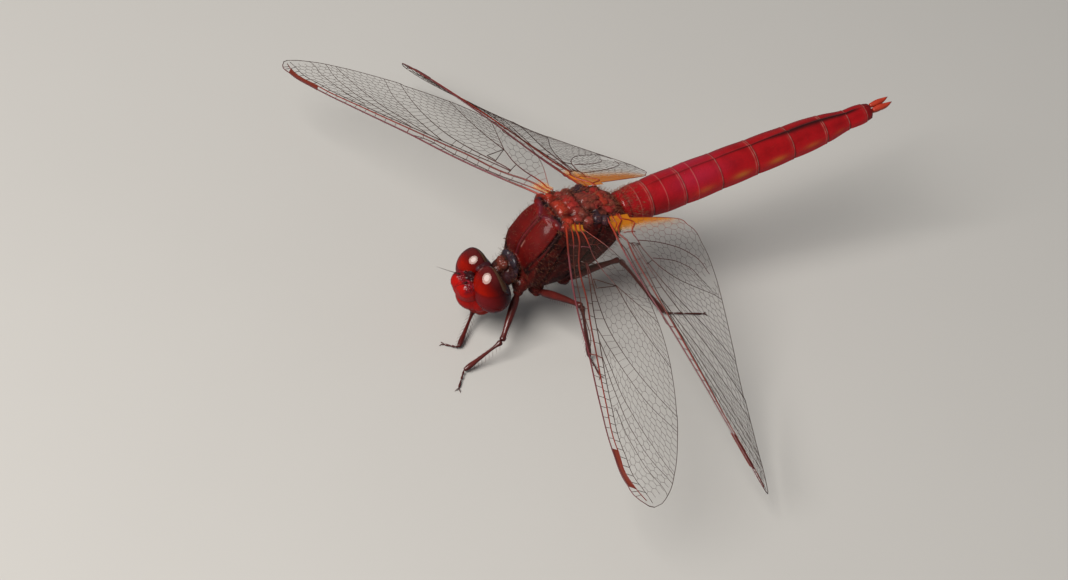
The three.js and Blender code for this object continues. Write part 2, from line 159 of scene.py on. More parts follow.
HINDWING = {
    "hinge": (2.35, 2.1, 2.3),
    "nodus": 11.4,
    "spot": (22.6, 25.8),
    "leading": [(0, 0), (3.7, -0.37), (7.4, -0.46), (11.4, -0.18), (17.5, 0.1), (22.8, 0.5),
                (25.9, 1.2), (27.4, 2), (27.9, 2.8)],
    "trailing": [(0.1, 2.4), (0.4, 5), (0.7, 7), (1.6, 8.6), (3.5, 9.4), (6.2, 9.6), (9.7, 9.2),
                 (14, 8.4), (18.4, 7.4), (22.8, 6.25), (26.3, 4.9), (27.5, 4), (27.9, 3.4)],
    "veins": {
        "subcosta": [(0, 0.25), (0.7, 0.085), (3.5, 0.055), (8, 0.045), (11.4, 0)],
        "radius": [(0, 0.5), (0.7, 0.15), (2.6, 0.098), (8, 0.085), (11.4, 0.075), (17, 0.075),
                   (22.8, 0.085), (25.8, 0.18), (27.4, 0.38)],
        "sector": [(2.6, 0.14), (6, 0.15), (9, 0.135), (11.4, 0.125), (17, 0.15), (22.8, 0.2),
                   (25.8, 0.38), (27.5, 0.65)],
        "sector_2": [(11.6, 0.125), (15, 0.19), (19, 0.34), (22.5, 0.64), (25, 1)],
        "between_2": [(9.8, 0.135), (13, 0.2), (17, 0.35), (20.5, 0.6), (23, 0.88), (23.8, 1)],
        "sector_3": [(8.4, 0.14), (11, 0.21), (14, 0.36), (17, 0.6), (20.2, 1)],
        "media": [(2.6, 0.15), (5, 0.185), (8, 0.24), (11, 0.36), (14, 0.56), (17, 0.85),
                  (18.2, 1)],
        "media_2": [(4.8, 0.22), (7, 0.3), (9, 0.42), (11.5, 0.65), (13.5, 0.88), (14.4, 1)],
        "cubitus": [(4.5, 0.29), (5.6, 0.38), (6.8, 0.55), (7.6, 0.75), (8.1, 0.9), (8.6, 1)],
        "anal": [(0, 0.62), (1, 0.3), (2.6, 0.24), (4.5, 0.29)],
        "loop_inner": [(2.4, 0.25), (2.7, 0.42), (3.2, 0.6), (4.4, 0.82), (6.2, 0.93)],
        "loop_middle": [(4.3, 0.31), (4.6, 0.5), (5.2, 0.66), (6.6, 0.8)],
        "between_1": [(17.5, 0.18), (21, 0.31), (24, 0.6), (26.3, 1)],
    },
    "bars": [((2.6, 0.098), (2.75, 0.24)), ((2.9, 0.165), (2.85, 0.245)), ((2.9, 0.2), (4.9, 0.21)),
             ((4.9, 0.19), (4.5, 0.29)), ((1.5, 0.12), (1.5, 0.28)), ((11.4, 0), (11.75, 0.13))],
    "fields": [
        ("costa", 0.8, 11.3, "subcosta", 0.8, 11.1, 1.3, 0),
        ("subcosta", 0.8, 11.1, "radius", 0.8, 11.3, 1.3, 0),
        ("costa", 11.6, 22.6, "radius", 11.9, 22.6, 1.05, 0),
        ("costa", 25.8, 27.5, "radius", 25.8, 27.3, 0.5, 0),
        ("radius", 2.9, 11.6, "sector", 2.9, 11.6, 1.4, 0),
        ("radius", 11.9, 27.3, "sector", 11.9, 27.3, 0.85, 0),
        ("sector", 3.2, 8.4, "media", 3.2, 8.4, 1.0, 0),
        ("sector_3", 8.6, 20.2, "media", 8.6, 18.2, 0.66, 0.8),
        ("between_2", 10, 23.8, "sector_3", 9.6, 20.2, 0.66, 0.62),
        ("sector_2", 11.8, 25, "between_2", 11.6, 23.8, 0.66, 0.62),
        ("sector", 11.9, 27.4, "sector_2", 11.9, 25, 0.66, 0.58),
        ("media", 5.0, 18.2, "media_2", 4.9, 14.4, 0.66, 0.66),
        ("media_2", 5.0, 14.4, "cubitus", 4.6, 8.6, 0.66, 0.66),
        ("loop_inner", 2.45, 6.2, "margin", 0.1, 6.2, 0.62, 0.66),
        ("loop_middle", 4.35, 6.6, "loop_inner", 2.45, 6.2, 0.6, 0.66),
        ("cubitus", 4.6, 8.6, "loop_middle", 4.35, 6.6, 0.6, 0.62),
        ("cubitus", 8.0, 8.6, "margin", 6.3, 8.6, 0.6, 0.6),
        ("anal", 0.5, 2.5, "margin", 0.1, 0.12, 0.9, 1.0),
    ],
}
# Radius of each main vein where it starts and where it ends
VEIN_RADII = {
    "subcosta": (0.055, 0.035), "radius": (0.085, 0.04), "sector": (0.05, 0.025),
    "sector_2": (0.035, 0.022), "between_2": (0.035, 0.022), "sector_3": (0.038, 0.022),
    "media": (0.05, 0.025), "media_2": (0.042, 0.025), "cubitus": (0.042, 0.025),
    "anal": (0.07, 0.04), "loop_inner": (0.04, 0.025), "loop_middle": (0.035, 0.022),
    "between_1": (0.03, 0.02),
}
VEIN_ROOT = -0.45
MEMBRANE_ROOT = -0.3
MEMBRANE_THICKNESS = 0.012
SPOT_THICKNESS = 0.07
CELL_ZIGZAG = 0.16

# name, side (1 is left), plan, sweep, droop, twist at the root and at the tip in degrees, how
# far the tip is bent up and forwards, and the reach of the amber patch
WINGS = [
    ("forewing_left", 1, FOREWING, 22.5, 4.1, 2.9, 16.9, 0.3, 0.1, 0.4),
    ("forewing_right", -1, FOREWING, 24.2, 5.8, -0.5, 15, -0.3, 0.5, 1.2),
    ("hindwing_left", 1, HINDWING, 0.8, 12.5, 14.5, 55, 1.0, 1.1, 0.6),
    ("hindwing_right", -1, HINDWING, 2.2, 14.8, 14.1, 49, 1.2, 2.2, 1.35),
]

# name, hip, knee, ankle, toe, measured from the floor under the thorax
LEGS = [
    ("left_fore", (1.2, -4.9, 4.4), (4.3, -8, 2), (4.8, -11.8, 0.3), (6.35, -13.2, 0.12)),
    ("right_fore", (-1.2, -4.9, 4.4), (-0.7, -7.7, 1.15), (2.2, -10.8, 0.3), (1.3, -11.7, 0.12)),
    ("left_mid", (1.3, -3.2, 3.7), (6.6, -2.2, 6.4), (7.4, -0.5, 0.3), (9.5, -0.7, 0.12)),
    ("right_mid", (-1.3, -3.2, 3.7), (-5.6, 0.4, 5.8), (-6.6, 0.4, 0.3), (-8.1, 0.5, 0.12)),
    ("left_hind", (1.5, -0.6, 4.2), (2, 4.85, 5.4), (5.1, 8.9, 0.3), (6.3, 12.3, 0.12)),
    ("right_hind", (-1.5, -0.6, 4.2), (-2.6, 4.7, 5.6), (-5.4, 8.4, 0.3), (-7, 11.4, 0.12)),
]

# ------------------------------------------------------------------ shape helpers


def smooth_curve(points):
    """A smooth function through (x, y) pairs with rising x, flat beyond its ends."""
    xs, ys = np.array(points, float).T
    slopes = np.gradient(ys, xs)

    def at(x):
        x = np.clip(x, xs[0], xs[-1])
        i = np.clip(np.searchsorted(xs, x) - 1, 0, len(xs) - 2)
        step = xs[i + 1] - xs[i]
        t = (x - xs[i]) / step
        return (
            (2 * t**3 - 3 * t**2 + 1) * ys[i] + (t**3 - 2 * t**2 + t) * step * slopes[i]
            + (3 * t**2 - 2 * t**3) * ys[i + 1] + (t**3 - t**2) * step * slopes[i + 1]
        )

    return at


def ramp_between(x, low, high):
    """0 below low, 1 above high, and smooth between; high may be the smaller one."""
    t = np.clip((x - low) / (high - low), 0, 1)
    return t * t * (3 - 2 * t)


def hump(distance, width):
    """1 where the distance is 0, falling away smoothly over the width on both sides."""
    return np.exp(-((distance / width) ** 2))


def squared_round(angle, squareness):
    """Across and up of a round section: a circle at squareness 2, and squarer above it."""
    power = 2 / squareness
    across, up = np.sin(angle), np.cos(angle)
    return np.sign(across) * np.abs(across) ** power, np.sign(up) * np.abs(up) ** power


def unit(vector):
    return vector / np.linalg.norm(vector)


def largest(*values):
    return functools.reduce(np.maximum, values)


def distance_to_path(points, path):
    """How far each point lies from a path of straight stretches."""
    nearest = np.full(len(points), 1e9)
    for start, end in zip(path, path[1:]):
        start = np.array(start, float)
        run = np.array(end, float) - start
        share = np.clip((points - start) @ run / (run @ run), 0, 1)
        gap = np.linalg.norm(points - start - share[:, None] * run, axis=1)
        nearest = np.minimum(nearest, gap)
    return nearest


def both_sides(path):
    return [path, [(-x, y, z) for x, y, z in path]]


def distance_to_pair(points, path):
    """How far each point lies from a path or from its mirror image, whichever is nearer."""
    return np.minimum(*[distance_to_path(points, one) for one in both_sides(path)])


def corners_of(bm):
    return np.array([vert.co for vert in bm.verts])


def move_corners(bm, places):
    for vert, place in zip(bm.verts, places):
        vert.co = place


def sheet(columns, rows):
    """A flat sheet of quads that runs from 0 to 1 in X and in Y."""
    bm = bmesh.new()
    bmesh.ops.create_grid(bm, x_segments=columns, y_segments=rows, size=0.5)
    bmesh.ops.translate(bm, vec=(0.5, 0.5, 0), verts=bm.verts)
    return bm


def wrapped(columns, rows, rule):
    """A closed tube: rule(around, along) places it, and both ends are drawn to a point."""
    bm = sheet(columns, rows)
    flat = corners_of(bm)
    around, along = flat[:, 0], flat[:, 1]
    places = rule(around, along)
    for end in (along < 1e-6, along > 1 - 1e-6):
        places[end] = places[end].mean(axis=0)
    move_corners(bm, places)
    bmesh.ops.remove_doubles(bm, verts=bm.verts, dist=1e-5)
    bmesh.ops.recalc_face_normals(bm, faces=bm.faces)
    return bm


def add_ellipsoid(bm, middle, sizes, turn=(0, 0, 0), columns=24, rows=16):
    """Adds an ellipsoid with the given half sizes, turned about X, Y and Z in degrees."""
    new = bmesh.ops.create_uvsphere(bm, u_segments=columns, v_segments=rows, radius=1)
    rotation = Matrix.Identity(4)
    for axis, angle in zip("XYZ", turn):
        rotation = Matrix.Rotation(math.radians(angle), 4, axis) @ rotation
    shape = Matrix.Translation(middle) @ rotation @ Matrix.Diagonal((*sizes, 1))
    bmesh.ops.transform(bm, matrix=shape, verts=new["verts"])


def add_bmesh(bm, other):
    """Adds the other mesh and frees it."""
    mesh = bpy.data.meshes.new("part")
    other.to_mesh(mesh)
    other.free()
    bm.from_mesh(mesh)
    bpy.data.meshes.remove(mesh)


def limb(path, radii, sides, rows, flat=1.0):
    """A closed tube along a smooth path through 3-D points, with (share, radius) pairs.

    Its section is round, or lower than it is wide where flat is below 1.
    """
    points = np.array(path, float)
    reach = np.concatenate([[0], np.cumsum(np.linalg.norm(np.diff(points, axis=0), axis=1))])
    reach /= reach[-1]
    follow = [smooth_curve(list(zip(reach, points[:, axis]))) for axis in range(3)]
    radius = smooth_curve(radii)
    whole = points[-1] - points[0]
    steep = abs(whole[2]) >= 0.8 * np.linalg.norm(whole)
    helper = np.cross(whole, (1.0, 0.2, 0) if steep else (0.3, 0.1, 1.0))

    def rule(around, along):
        middle = np.stack([curve(along) for curve in follow], axis=1)
        ahead = np.stack([curve(np.clip(along + 0.01, 0, 1)) for curve in follow], axis=1)
        behind = np.stack([curve(np.clip(along - 0.01, 0, 1)) for curve in follow], axis=1)
        run = ahead - behind
        run /= np.linalg.norm(run, axis=1)[:, None]
        sideways = helper - run * (run @ helper)[:, None]
        sideways /= np.linalg.norm(sideways, axis=1)[:, None]
        upwards = np.cross(run, sideways)
        angle = around * 2 * math.pi
        size = radius(along)
        return (
            middle + sideways * (np.cos(angle) * size)[:, None]
            + upwards * (np.sin(angle) * size * flat)[:, None]
        )

    return wrapped(sides, rows, rule)


def remeshed(bm, voxel, smoothing):
    """One closed skin over everything in the mesh, as a new mesh."""
    mesh = bpy.data.meshes.new("rough")
    bm.to_mesh(mesh)
    bm.free()
    rough = bpy.data.objects.new("rough", mesh)
    bpy.context.scene.collection.objects.link(rough)
    shrink = rough.modifiers.new("skin", "REMESH")
    shrink.mode = "VOXEL"
    shrink.voxel_size = voxel
    relax = rough.modifiers.new("relax", "SMOOTH")
    relax.factor = 0.5
    relax.iterations = smoothing
    depsgraph = bpy.context.evaluated_depsgraph_get()
    skin = bpy.data.meshes.new_from_object(rough.evaluated_get(depsgraph))
    bpy.data.objects.remove(rough)
    bpy.data.meshes.remove(mesh)
    return skin


def mesh_from(bm):
    mesh = bpy.data.meshes.new("shape")
    bm.to_mesh(mesh)
    bm.free()
    return mesh


def mesh_arrays(mesh):
    """Corner places and normals of a mesh."""
    places = np.zeros(len(mesh.vertices) * 3, np.float32)
    mesh.vertices.foreach_get("co", places)
    normals = np.zeros(len(mesh.vertices) * 3, np.float32)
    mesh.vertex_normals.foreach_get("vector", normals)
    return places.reshape(-1, 3).astype(float), normals.reshape(-1, 3).astype(float)


def set_places(mesh, places):
    mesh.vertices.foreach_set("co", places.astype(np.float32).ravel())
    mesh.update()


def set_markings(mesh, **markings):
    """Keeps numbers from 0 to 1 for each corner, which the materials read by their names."""
    for name, values in markings.items():
        layer = mesh.attributes.new(name, "FLOAT", "POINT")
        layer.data.foreach_set("value", np.clip(values, 0, 1).astype(np.float32))


def finish_piece(name, mesh, place, material, replaced=()):
    """Brings a finished mesh into the part's frame and hangs it under the root body's empty."""
    mesh.transform(Matrix.Scale(MM, 4) @ place)
    mesh.polygons.foreach_set("use_smooth", np.ones(len(mesh.polygons), bool))
    mesh.name = name
    mesh.materials.clear()
    mesh.materials.append(material)
    piece = bpy.data.objects.new(name, mesh)
    bpy.context.scene.collection.objects.link(piece)
    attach(piece, "root")
    if replaced:
        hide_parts(*replaced)
    return piece


# ------------------------------------------------------------------ material helpers


def add_node(tree, kind, inputs=None, **settings):
    """Adds a node; inputs maps socket names or numbers to values or to other sockets."""
    node = tree.nodes.new(kind)
    for key, value in settings.items():
        setattr(node, key, value)
    for key, value in (inputs or {}).items():
        if isinstance(value, bpy.types.NodeSocket):
            tree.links.new(value, node.inputs[key])
        else:
            node.inputs[key].default_value = value
    return node


def math_node(tree, operation, first, second, clamp=False):
    node = add_node(tree, "ShaderNodeMath", {0: first, 1: second}, operation=operation)
    node.use_clamp = clamp
    return node.outputs[0]


def multiply_add(tree, value, factor, plus):
    return add_node(
        tree, "ShaderNodeMath", {0: value, 1: factor, 2: plus}, operation="MULTIPLY_ADD").outputs[0]


def mix_color(tree, factor, first, second, blend="MIX"):
    node = add_node(
        tree, "ShaderNodeMix", {0: factor, 6: first, 7: second}, data_type="RGBA", blend_type=blend)
    return node.outputs[2]


def color_ramp(tree, factor, stops):
    node = add_node(tree, "ShaderNodeValToRGB", {0: factor})
    elements = node.color_ramp.elements
    while len(elements) < len(stops):
        elements.new(0.5)
    for element, (position, color) in zip(elements, stops):
        element.position = position
        element.color = color
    return node.outputs[0]


def marking(tree, name):
    """The number that set_markings kept under this name, or 0 where the mesh has none."""
    return add_node(tree, "ShaderNodeAttribute", attribute_name=name).outputs["Fac"]


BLACK = (0, 0, 0, 1)
WHITE = (1, 1, 1, 1)


def times(color, factor):
    """The colour made darker or brighter, and solid."""
    return (*[min(1, factor * part) for part in color[:3]], 1)


def new_material(name):
    """A material with an empty Principled surface: the material, its tree and the shader."""
    material = bpy.data.materials.new(name)
    material.use_nodes = True
    tree = material.node_tree
    shader = tree.nodes["Principled BSDF"]
    return material, tree, shader


def set_surface(tree, shader, color, values):
    """Links the colour and sets the shader's other sockets, given by their names."""
    tree.links.new(color, shader.inputs["Base Color"])
    for name, value in values.items():
        shader.inputs[name].default_value = value


def cuticle_grain():
    """Fine relief and uneven tone of insect shell, shared by every shell material."""
    group = bpy.data.node_groups.get("cuticle_grain")
    if group:
        return group
    group = bpy.data.node_groups.new("cuticle_grain", "ShaderNodeTree")
    for name, value in (("Grain per mm", 14.0), ("Pits per mm", 5.0), ("Blotches per mm", 0.9)):
        socket = group.interface.new_socket(name, in_out="INPUT", socket_type="NodeSocketFloat")
        socket.default_value = value
    for name in ("Relief", "Blotch", "Fleck"):
        group.interface.new_socket(name, in_out="OUTPUT", socket_type="NodeSocketFloat")
    given = group.nodes.new("NodeGroupInput")
    result = group.nodes.new("NodeGroupOutput")
    place = add_node(group, "ShaderNodeTexCoord").outputs["Object"]
    millimetres = add_node(
        group, "ShaderNodeVectorMath", {0: place, 3: 1000.0}, operation="SCALE").outputs[0]
    grain = add_node(
        group, "ShaderNodeTexNoise",
        {"Vector": millimetres, "Scale": given.outputs[0], "Detail": 3.0}).outputs[0]
    pits = add_node(
        group, "ShaderNodeTexVoronoi", {"Vector": millimetres, "Scale": given.outputs[1]},
        feature="F1").outputs["Distance"]
    blotch = add_node(
        group, "ShaderNodeTexNoise",
        {"Vector": millimetres, "Scale": given.outputs[2], "Detail": 4.0, "Roughness": 0.6}
    ).outputs[0]
    fleck = add_node(
        group, "ShaderNodeMapRange", {0: pits, 1: 0.16, 2: 0.08, 3: 0.0, 4: 1.0}).outputs[0]
    hollow = add_node(
        group, "ShaderNodeMapRange", {0: pits, 1: 0.0, 2: 0.35, 3: -1.0, 4: 0.0}).outputs[0]
    relief = multiply_add(group, grain, 0.6, hollow)
    for name, value in (("Relief", relief), ("Blotch", blotch), ("Fleck", fleck)):
        group.links.new(value, result.inputs[name])
    return group


def use_grain(tree, grain=14.0, pits=5.0, blotches=0.9):
    """The outputs of the shared grain, with its three sizes given in numbers per millimetre."""
    node = add_node(tree, "ShaderNodeGroup", node_tree=cuticle_grain())
    for socket, value in zip(node.inputs, (grain, pits, blotches)):
        socket.default_value = value
    return node.outputs


def add_bump(tree, shader, height, strength, distance):
    bump = add_node(
        tree, "ShaderNodeBump", {"Height": height, "Strength": strength, "Distance": distance})
    tree.links.new(bump.outputs[0], shader.inputs["Normal"])


def blotched_material(name, sizes, first, second, values, bump=None, dark=None):
    """Two colours in blotches, and a third where the mesh is marked dark.

    sizes are the grain's, values go to the shader's sockets by their names, and bump is a
    strength and a distance.
    """
    material, tree, shader = new_material(name)
    grain = use_grain(tree, *sizes)
    color = mix_color(tree, grain["Blotch"], first, second)
    if dark is not None:
        color = mix_color(tree, marking(tree, "dark"), color, dark)
    set_surface(tree, shader, color, values)
    if bump:
        add_bump(tree, shader, grain["Relief"], *bump)
    return material


def shell_material(name, base, deep, gloss, coat=0.3, relief=0.25):
    """Insect shell in two reds. The rest is coloured by the markings of the mesh.

    bright, warm, violet, sheen, pale and dark tint it. bright is partly painted light on the
    upper front of the thorax; violet is a painted sheen on crests, ridges and the top of the
    head; sheen is a painted magenta reflection on the abdomen; pale is partly painted highlight
    on the abdomen's rings; dark is partly painted shade in the hollows and creases of the back.
    knobs gives the plates of the back, whose tone runs from violet grey to orange red, and soft
    gives mottled, duller skin, which on the flank of the thorax is painted shade.
    """
    material, tree, shader = new_material(name)
    grain = use_grain(tree)
    blotch = color_ramp(tree, grain["Blotch"], [(0.35, BLACK), (0.68, WHITE)])
    color = mix_color(tree, blotch, base, deep)
    color = mix_color(tree, marking(tree, "bright"), color, times(base, 1.8))
    color = mix_color(tree, marking(tree, "warm"), color, (0.62, 0.16, 0.02, 1))
    uneven = use_grain(tree, 20.0, 9.0, 2.6)["Blotch"]
    shade = multiply_add(tree, uneven, 0.5, marking(tree, "tone"))
    patches = color_ramp(tree, math_node(tree, "SUBTRACT", shade, 0.25), [
        (0.0, (0.03, 0.022, 0.03, 1)), (0.16, (0.055, 0.02, 0.027, 1)),
        (0.32, (0.07, 0.016, 0.01, 1)), (0.5, (0.2, 0.038, 0.026, 1)),
        (0.7, (0.27, 0.018, 0.016, 1)), (0.95, (0.34, 0.03, 0.014, 1))])
    color = mix_color(tree, marking(tree, "knobs"), color, patches)
    mottled = color_ramp(tree, use_grain(tree, 20.0, 9.0, 1.1)["Blotch"], [
        (0.36, (0.02, 0.004, 0.004, 1)), (0.5, (0.07, 0.007, 0.005, 1)),
        (0.66, (0.13, 0.012, 0.009, 1))])
    color = mix_color(tree, marking(tree, "soft"), color, mottled)
    # violet and sheen are painted reflections; pale and dark are partly painted highlight and
    # shade.
    for tint, target in (
        ("violet", (0.13, 0.022, 0.036, 1)), ("sheen", (0.5, 0.03, 0.09, 1)),
        ("pale", (0.7, 0.36, 0.28, 1)), ("dark", (0.01, 0.004, 0.004, 1)),
    ):
        color = mix_color(tree, marking(tree, tint), color, target)
    set_surface(tree, shader, color, {
        "Specular IOR Level": 0.08, "Coat IOR": 1.45, "Coat Roughness": 0.13})
    rough = multiply_add(tree, marking(tree, "soft"), 0.2, gloss)
    rough = multiply_add(tree, grain["Blotch"], 0.18, rough)
    tree.links.new(rough, shader.inputs["Roughness"])
    weight = multiply_add(tree, marking(tree, "knobs"), 0.55 - coat, coat)
    tree.links.new(weight, shader.inputs["Coat Weight"])
    add_bump(tree, shader, grain["Relief"], relief, 0.00004)
    return material


# ------------------------------------------------------------------ settings


def color_setting(name, description, default):
    return bpy.props.FloatVectorProperty(
        name=name, description=description, default=default, size=4, min=0, max=1,
        subtype="COLOR")


def length_setting(name, description, default):
    return bpy.props.FloatProperty(
        name=name, description=description, default=default, min=0, unit="LENGTH", precision=5)


class BodySettings(bpy.types.PropertyGroup):
    """Shell and hairs of the thorax and the abdomen."""

    thorax_red: color_setting("Thorax red", "Shell of the thorax", (0.105, 0.004, 0.003, 1))
    thorax_deep: color_setting("Thorax deep red", "Darker blotches", (0.055, 0.003, 0.003, 1))
    abdomen_red: color_setting("Abdomen red", "Shell of the abdomen", (0.36, 0.005, 0.008, 1))
    abdomen_deep: color_setting("Abdomen deep red", "Darker blotches", (0.26, 0.003, 0.005, 1))
    hair: color_setting("Hair", "Fine hairs on the thorax", (0.32, 0.09, 0.04, 1))
    hair_length: length_setting("Hair length", "Hairs on the thorax", 0.0006)
    skin_step: length_setting("Skin step", "Spacing of the thorax skin's corners", 0.000065)


class HeadSettings(bpy.types.PropertyGroup):
    """Eyes, face and feelers."""

    eye_crown: color_setting("Eye crown", "Top of the eyes", (0.11, 0.012, 0.012, 1))
    eye_front: color_setting("Eye front", "Upper part beside the face", (0.33, 0.007, 0.001, 1))
    eye_top: color_setting("Eye above", "Upper part of the eyes", (0.17, 0.003, 0.001, 1))
    eye_below: color_setting("Eye below", "Lower part of the eyes", (0.11, 0.004, 0.004, 1))
    eye_band: color_setting("Eye band", "Rear edge above", (0.12, 0.066, 0.037, 1))
    # Blue grey of the rear edge below: a painted reflection.
    eye_rim_reflection: color_setting("Eye rim", "Rear edge below", (0.05, 0.045, 0.06, 1))
    face_red: color_setting("Face red", "Frons, clypeus and lips", (0.5, 0.006, 0.003, 1))
    feeler: color_setting("Feeler", "Feelers", (0.02, 0.01, 0.009, 1))


class WingSettings(bpy.types.PropertyGroup):
    """Membrane, veins and spots."""

    membrane: color_setting("Membrane", "Smoke tint of the membrane", (0.13, 0.1, 0.08, 1))
    amber: color_setting("Amber", "Patches at the wing bases", (0.8, 0.27, 0.01, 1))
    vein: color_setting("Vein", "Veins away from the front edge", (0.06, 0.023, 0.013, 1))
    vein_front: color_setting("Front vein", "The front edge of the wing", (0.22, 0.05, 0.06, 1))
    vein_red: color_setting("Red vein", "Veins at the base, and the radius", (0.4, 0.034, 0.009, 1))
    spot: color_setting("Spot", "Spot near each wing tip", (0.23, 0.03, 0.014, 1))
    opacity: bpy.props.FloatProperty(
        name="Opacity", description="How much the membrane hides", default=0.025, min=0, max=1,
        subtype="FACTOR")
    net_radius: length_setting("Net radius", "Radius of the finest veins", 0.000014)


class LegSettings(bpy.types.PropertyGroup):
    """Legs, spines and claws."""

    leg_red: color_setting("Leg red", "Upper side of the legs", (0.16, 0.016, 0.012, 1))
    # leg_dark also colours the painted shade on the side of each leg that faces down.
    leg_dark: color_setting("Leg dark", "Inner side, spines and claws", (0.03, 0.008, 0.007, 1))
    femur: length_setting("Femur radius", "Half the thickness of a femur", 0.00033)
    tibia: length_setting("Tibia radius", "Half the thickness of a tibia", 0.00019)


class StageSettings(bpy.types.PropertyGroup):
    """Floor, lights and camera."""

    floor: color_setting("Floor", "Plain pale floor", (0.6, 0.58, 0.55, 1))
    key_power: bpy.props.FloatProperty(
        name="Key power", description="Power of the main lamp", default=1.85, min=0, unit="POWER")
    fill_power: bpy.props.FloatProperty(
        name="Fill power", description="Power of the left fill lamp, and a little over the right's",
        default=0.35, min=0, unit="POWER")
    catch_power: bpy.props.FloatProperty(
        name="Catch light", description="Power of the lamp that only the eyes reflect", default=7.5,
        min=0, unit="POWER")
    lens: bpy.props.FloatProperty(
        name="Lens", description="Focal length", default=117.66, min=1, unit="CAMERA")


# ------------------------------------------------------------------ body


def thorax_form():
    """The thorax, prothorax, neck and hip stubs, as closed shapes that run into one another."""
    top = smooth_curve([(y, t) for y, t, _, _ in THORAX_RINGS])
    bottom = smooth_curve([(y, b) for y, _, b, _ in THORAX_RINGS])
    width = smooth_curve([(y, w) for y, _, _, w in THORAX_RINGS])
    front, back = THORAX_RINGS[0][0], THORAX_RINGS[-1][0]

    def rule(around, along):
        y = front + (back - front) * along
        across, up = squared_round((around - 0.5) * 2 * math.pi, THORAX_SQUARENESS)
        high, low = top(y), bottom(y)
        x = across * width(y)
        z = up * (high - low) / 2
        return np.stack([x, y, z + (high + low) / 2], axis=1)

    bm = wrapped(72, 60, rule)
    to_body = BODY.inverted() @ FLOOR
    for _, hip, knee, _, _ in LEGS:
        hip = to_body @ Vector(hip)
        knee = to_body @ Vector(knee)
        add_ellipsoid(bm, hip + Vector((0, 0, 0.6)), (0.72, 0.72, 0.8))
        outwards = (knee - hip).normalized()
        add_ellipsoid(bm, hip + outwards * 0.25, (0.45, 0.45, 0.45))
    for middle, sizes in NECK:
        add_ellipsoid(bm, middle, sizes)
    for (x, y, z), sizes, turn, _ in PLATES:
        for side in (1, -1) if x else (1,):
            add_ellipsoid(bm, (x * side, y, z), sizes, (turn[0], turn[1] * side, turn[2] * side))
    return bm


# Prothorax and neck: middle and half sizes
NECK = [
    ((0, -5.6, -2.0), (1.2, 0.5, 1.0)), ((0, -5.8, -2.7), (1.4, 0.55, 1.0)),
    ((0, -6.9, -2.5), (0.52, 1.0, 0.52)),
]
# Plates and knobs between the wings and on the neck: middle, half sizes, turn in degrees, and
# tone from 0, violet grey, over red brown and crimson to 1, orange red. Off the middle they
# come in pairs.
PLATES = [
    ((0.36, -1.5, 2.98), (0.48, 0.59, 0.31), (0, 6, 0), 0.95),
    ((0.33, -0.42, 3.1), (0.48, 0.68, 0.31), (0, 8, 0), 0.72),
    ((0, 1.35, 2.92), (0.48, 1.14, 0.31), (-6, 0, 0), 0.52),
    ((0.42, 2.75, 2.46), (0.52, 0.48, 0.29), (-10, 8, 0), 0.9),
    ((0.88, -0.4, 2.9), (0.39, 0.52, 0.28), (0, 18, 0), 0.62),
    ((1.27, 0.15, 2.82), (0.59, 0.59, 0.38), (0, 20, 0), 0.42),
    ((0.66, 0.95, 2.78), (0.39, 0.57, 0.26), (0, 14, 0), 0.5),
    ((0.64, 2, 2.58), (0.43, 0.55, 0.26), (-8, 12, 0), 0.66),
    ((1.5, -2.5, 2.76), (0.57, 0.46, 0.34), (0, 15, 0), 0.06),
    ((1.98, -2.12, 2.62), (0.55, 0.48, 0.36), (0, 15, 0), 0.85),
    ((1.66, -1.6, 2.76), (0.48, 0.5, 0.31), (0, 18, 0), 0.97),
    ((2.08, -1, 2.5), (0.41, 0.52, 0.26), (0, 18, 0), 0.3),
    ((1.62, -0.6, 2.72), (0.43, 0.46, 0.29), (0, 20, 0), 0.6),
    ((1.92, 0.35, 2.46), (0.41, 0.5, 0.28), (0, 24, 0), 0.55),
    ((1.86, 1.3, 2.34), (0.46, 0.48, 0.29), (0, 24, 0), 0.1),
    ((2.14, 1.98, 2.12), (0.52, 0.46, 0.34), (0, 20, 0), 0.12),
    ((1.55, 2.05, 2.32), (0.39, 0.46, 0.26), (-6, 18, 0), 0.35),
    ((2.15, 2.6, 1.9), (0.46, 0.41, 0.28), (0, 20, 0), 0.8),
    ((1.3, 2.85, 2.2), (0.48, 0.52, 0.28), (-10, 15, 0), 0.72),
    ((1.8, 3.3, 1.76), (0.48, 0.57, 0.29), (-10, 15, 0), 0.4),
    ((0.66, 3.45, 2.14), (0.64, 0.48, 0.26), (-12, 8, 0), 0.55),
    ((0.5, -5.85, -1.5), (0.66, 0.28, 0.55), (-14, 16, 0), 0.0),
    ((0.85, -5.75, -2.3), (0.5, 0.3, 0.5), (0, 0, 0), 0.1),
    ((0.28, -6.5, -1.82), (0.46, 0.42, 0.52), (0, 8, 0), 0.4),
    ((0.62, -6.25, -2.35), (0.42, 0.42, 0.45), (0, 0, 0), 0.3),
    ((0, -6.2, -2.85), (0.85, 0.6, 0.65), (0, 0, 0), 0.25),
    ((0.78, -6.3, -2.95), (0.55, 0.62, 0.75), (0, 0, 0), 0.22),
]
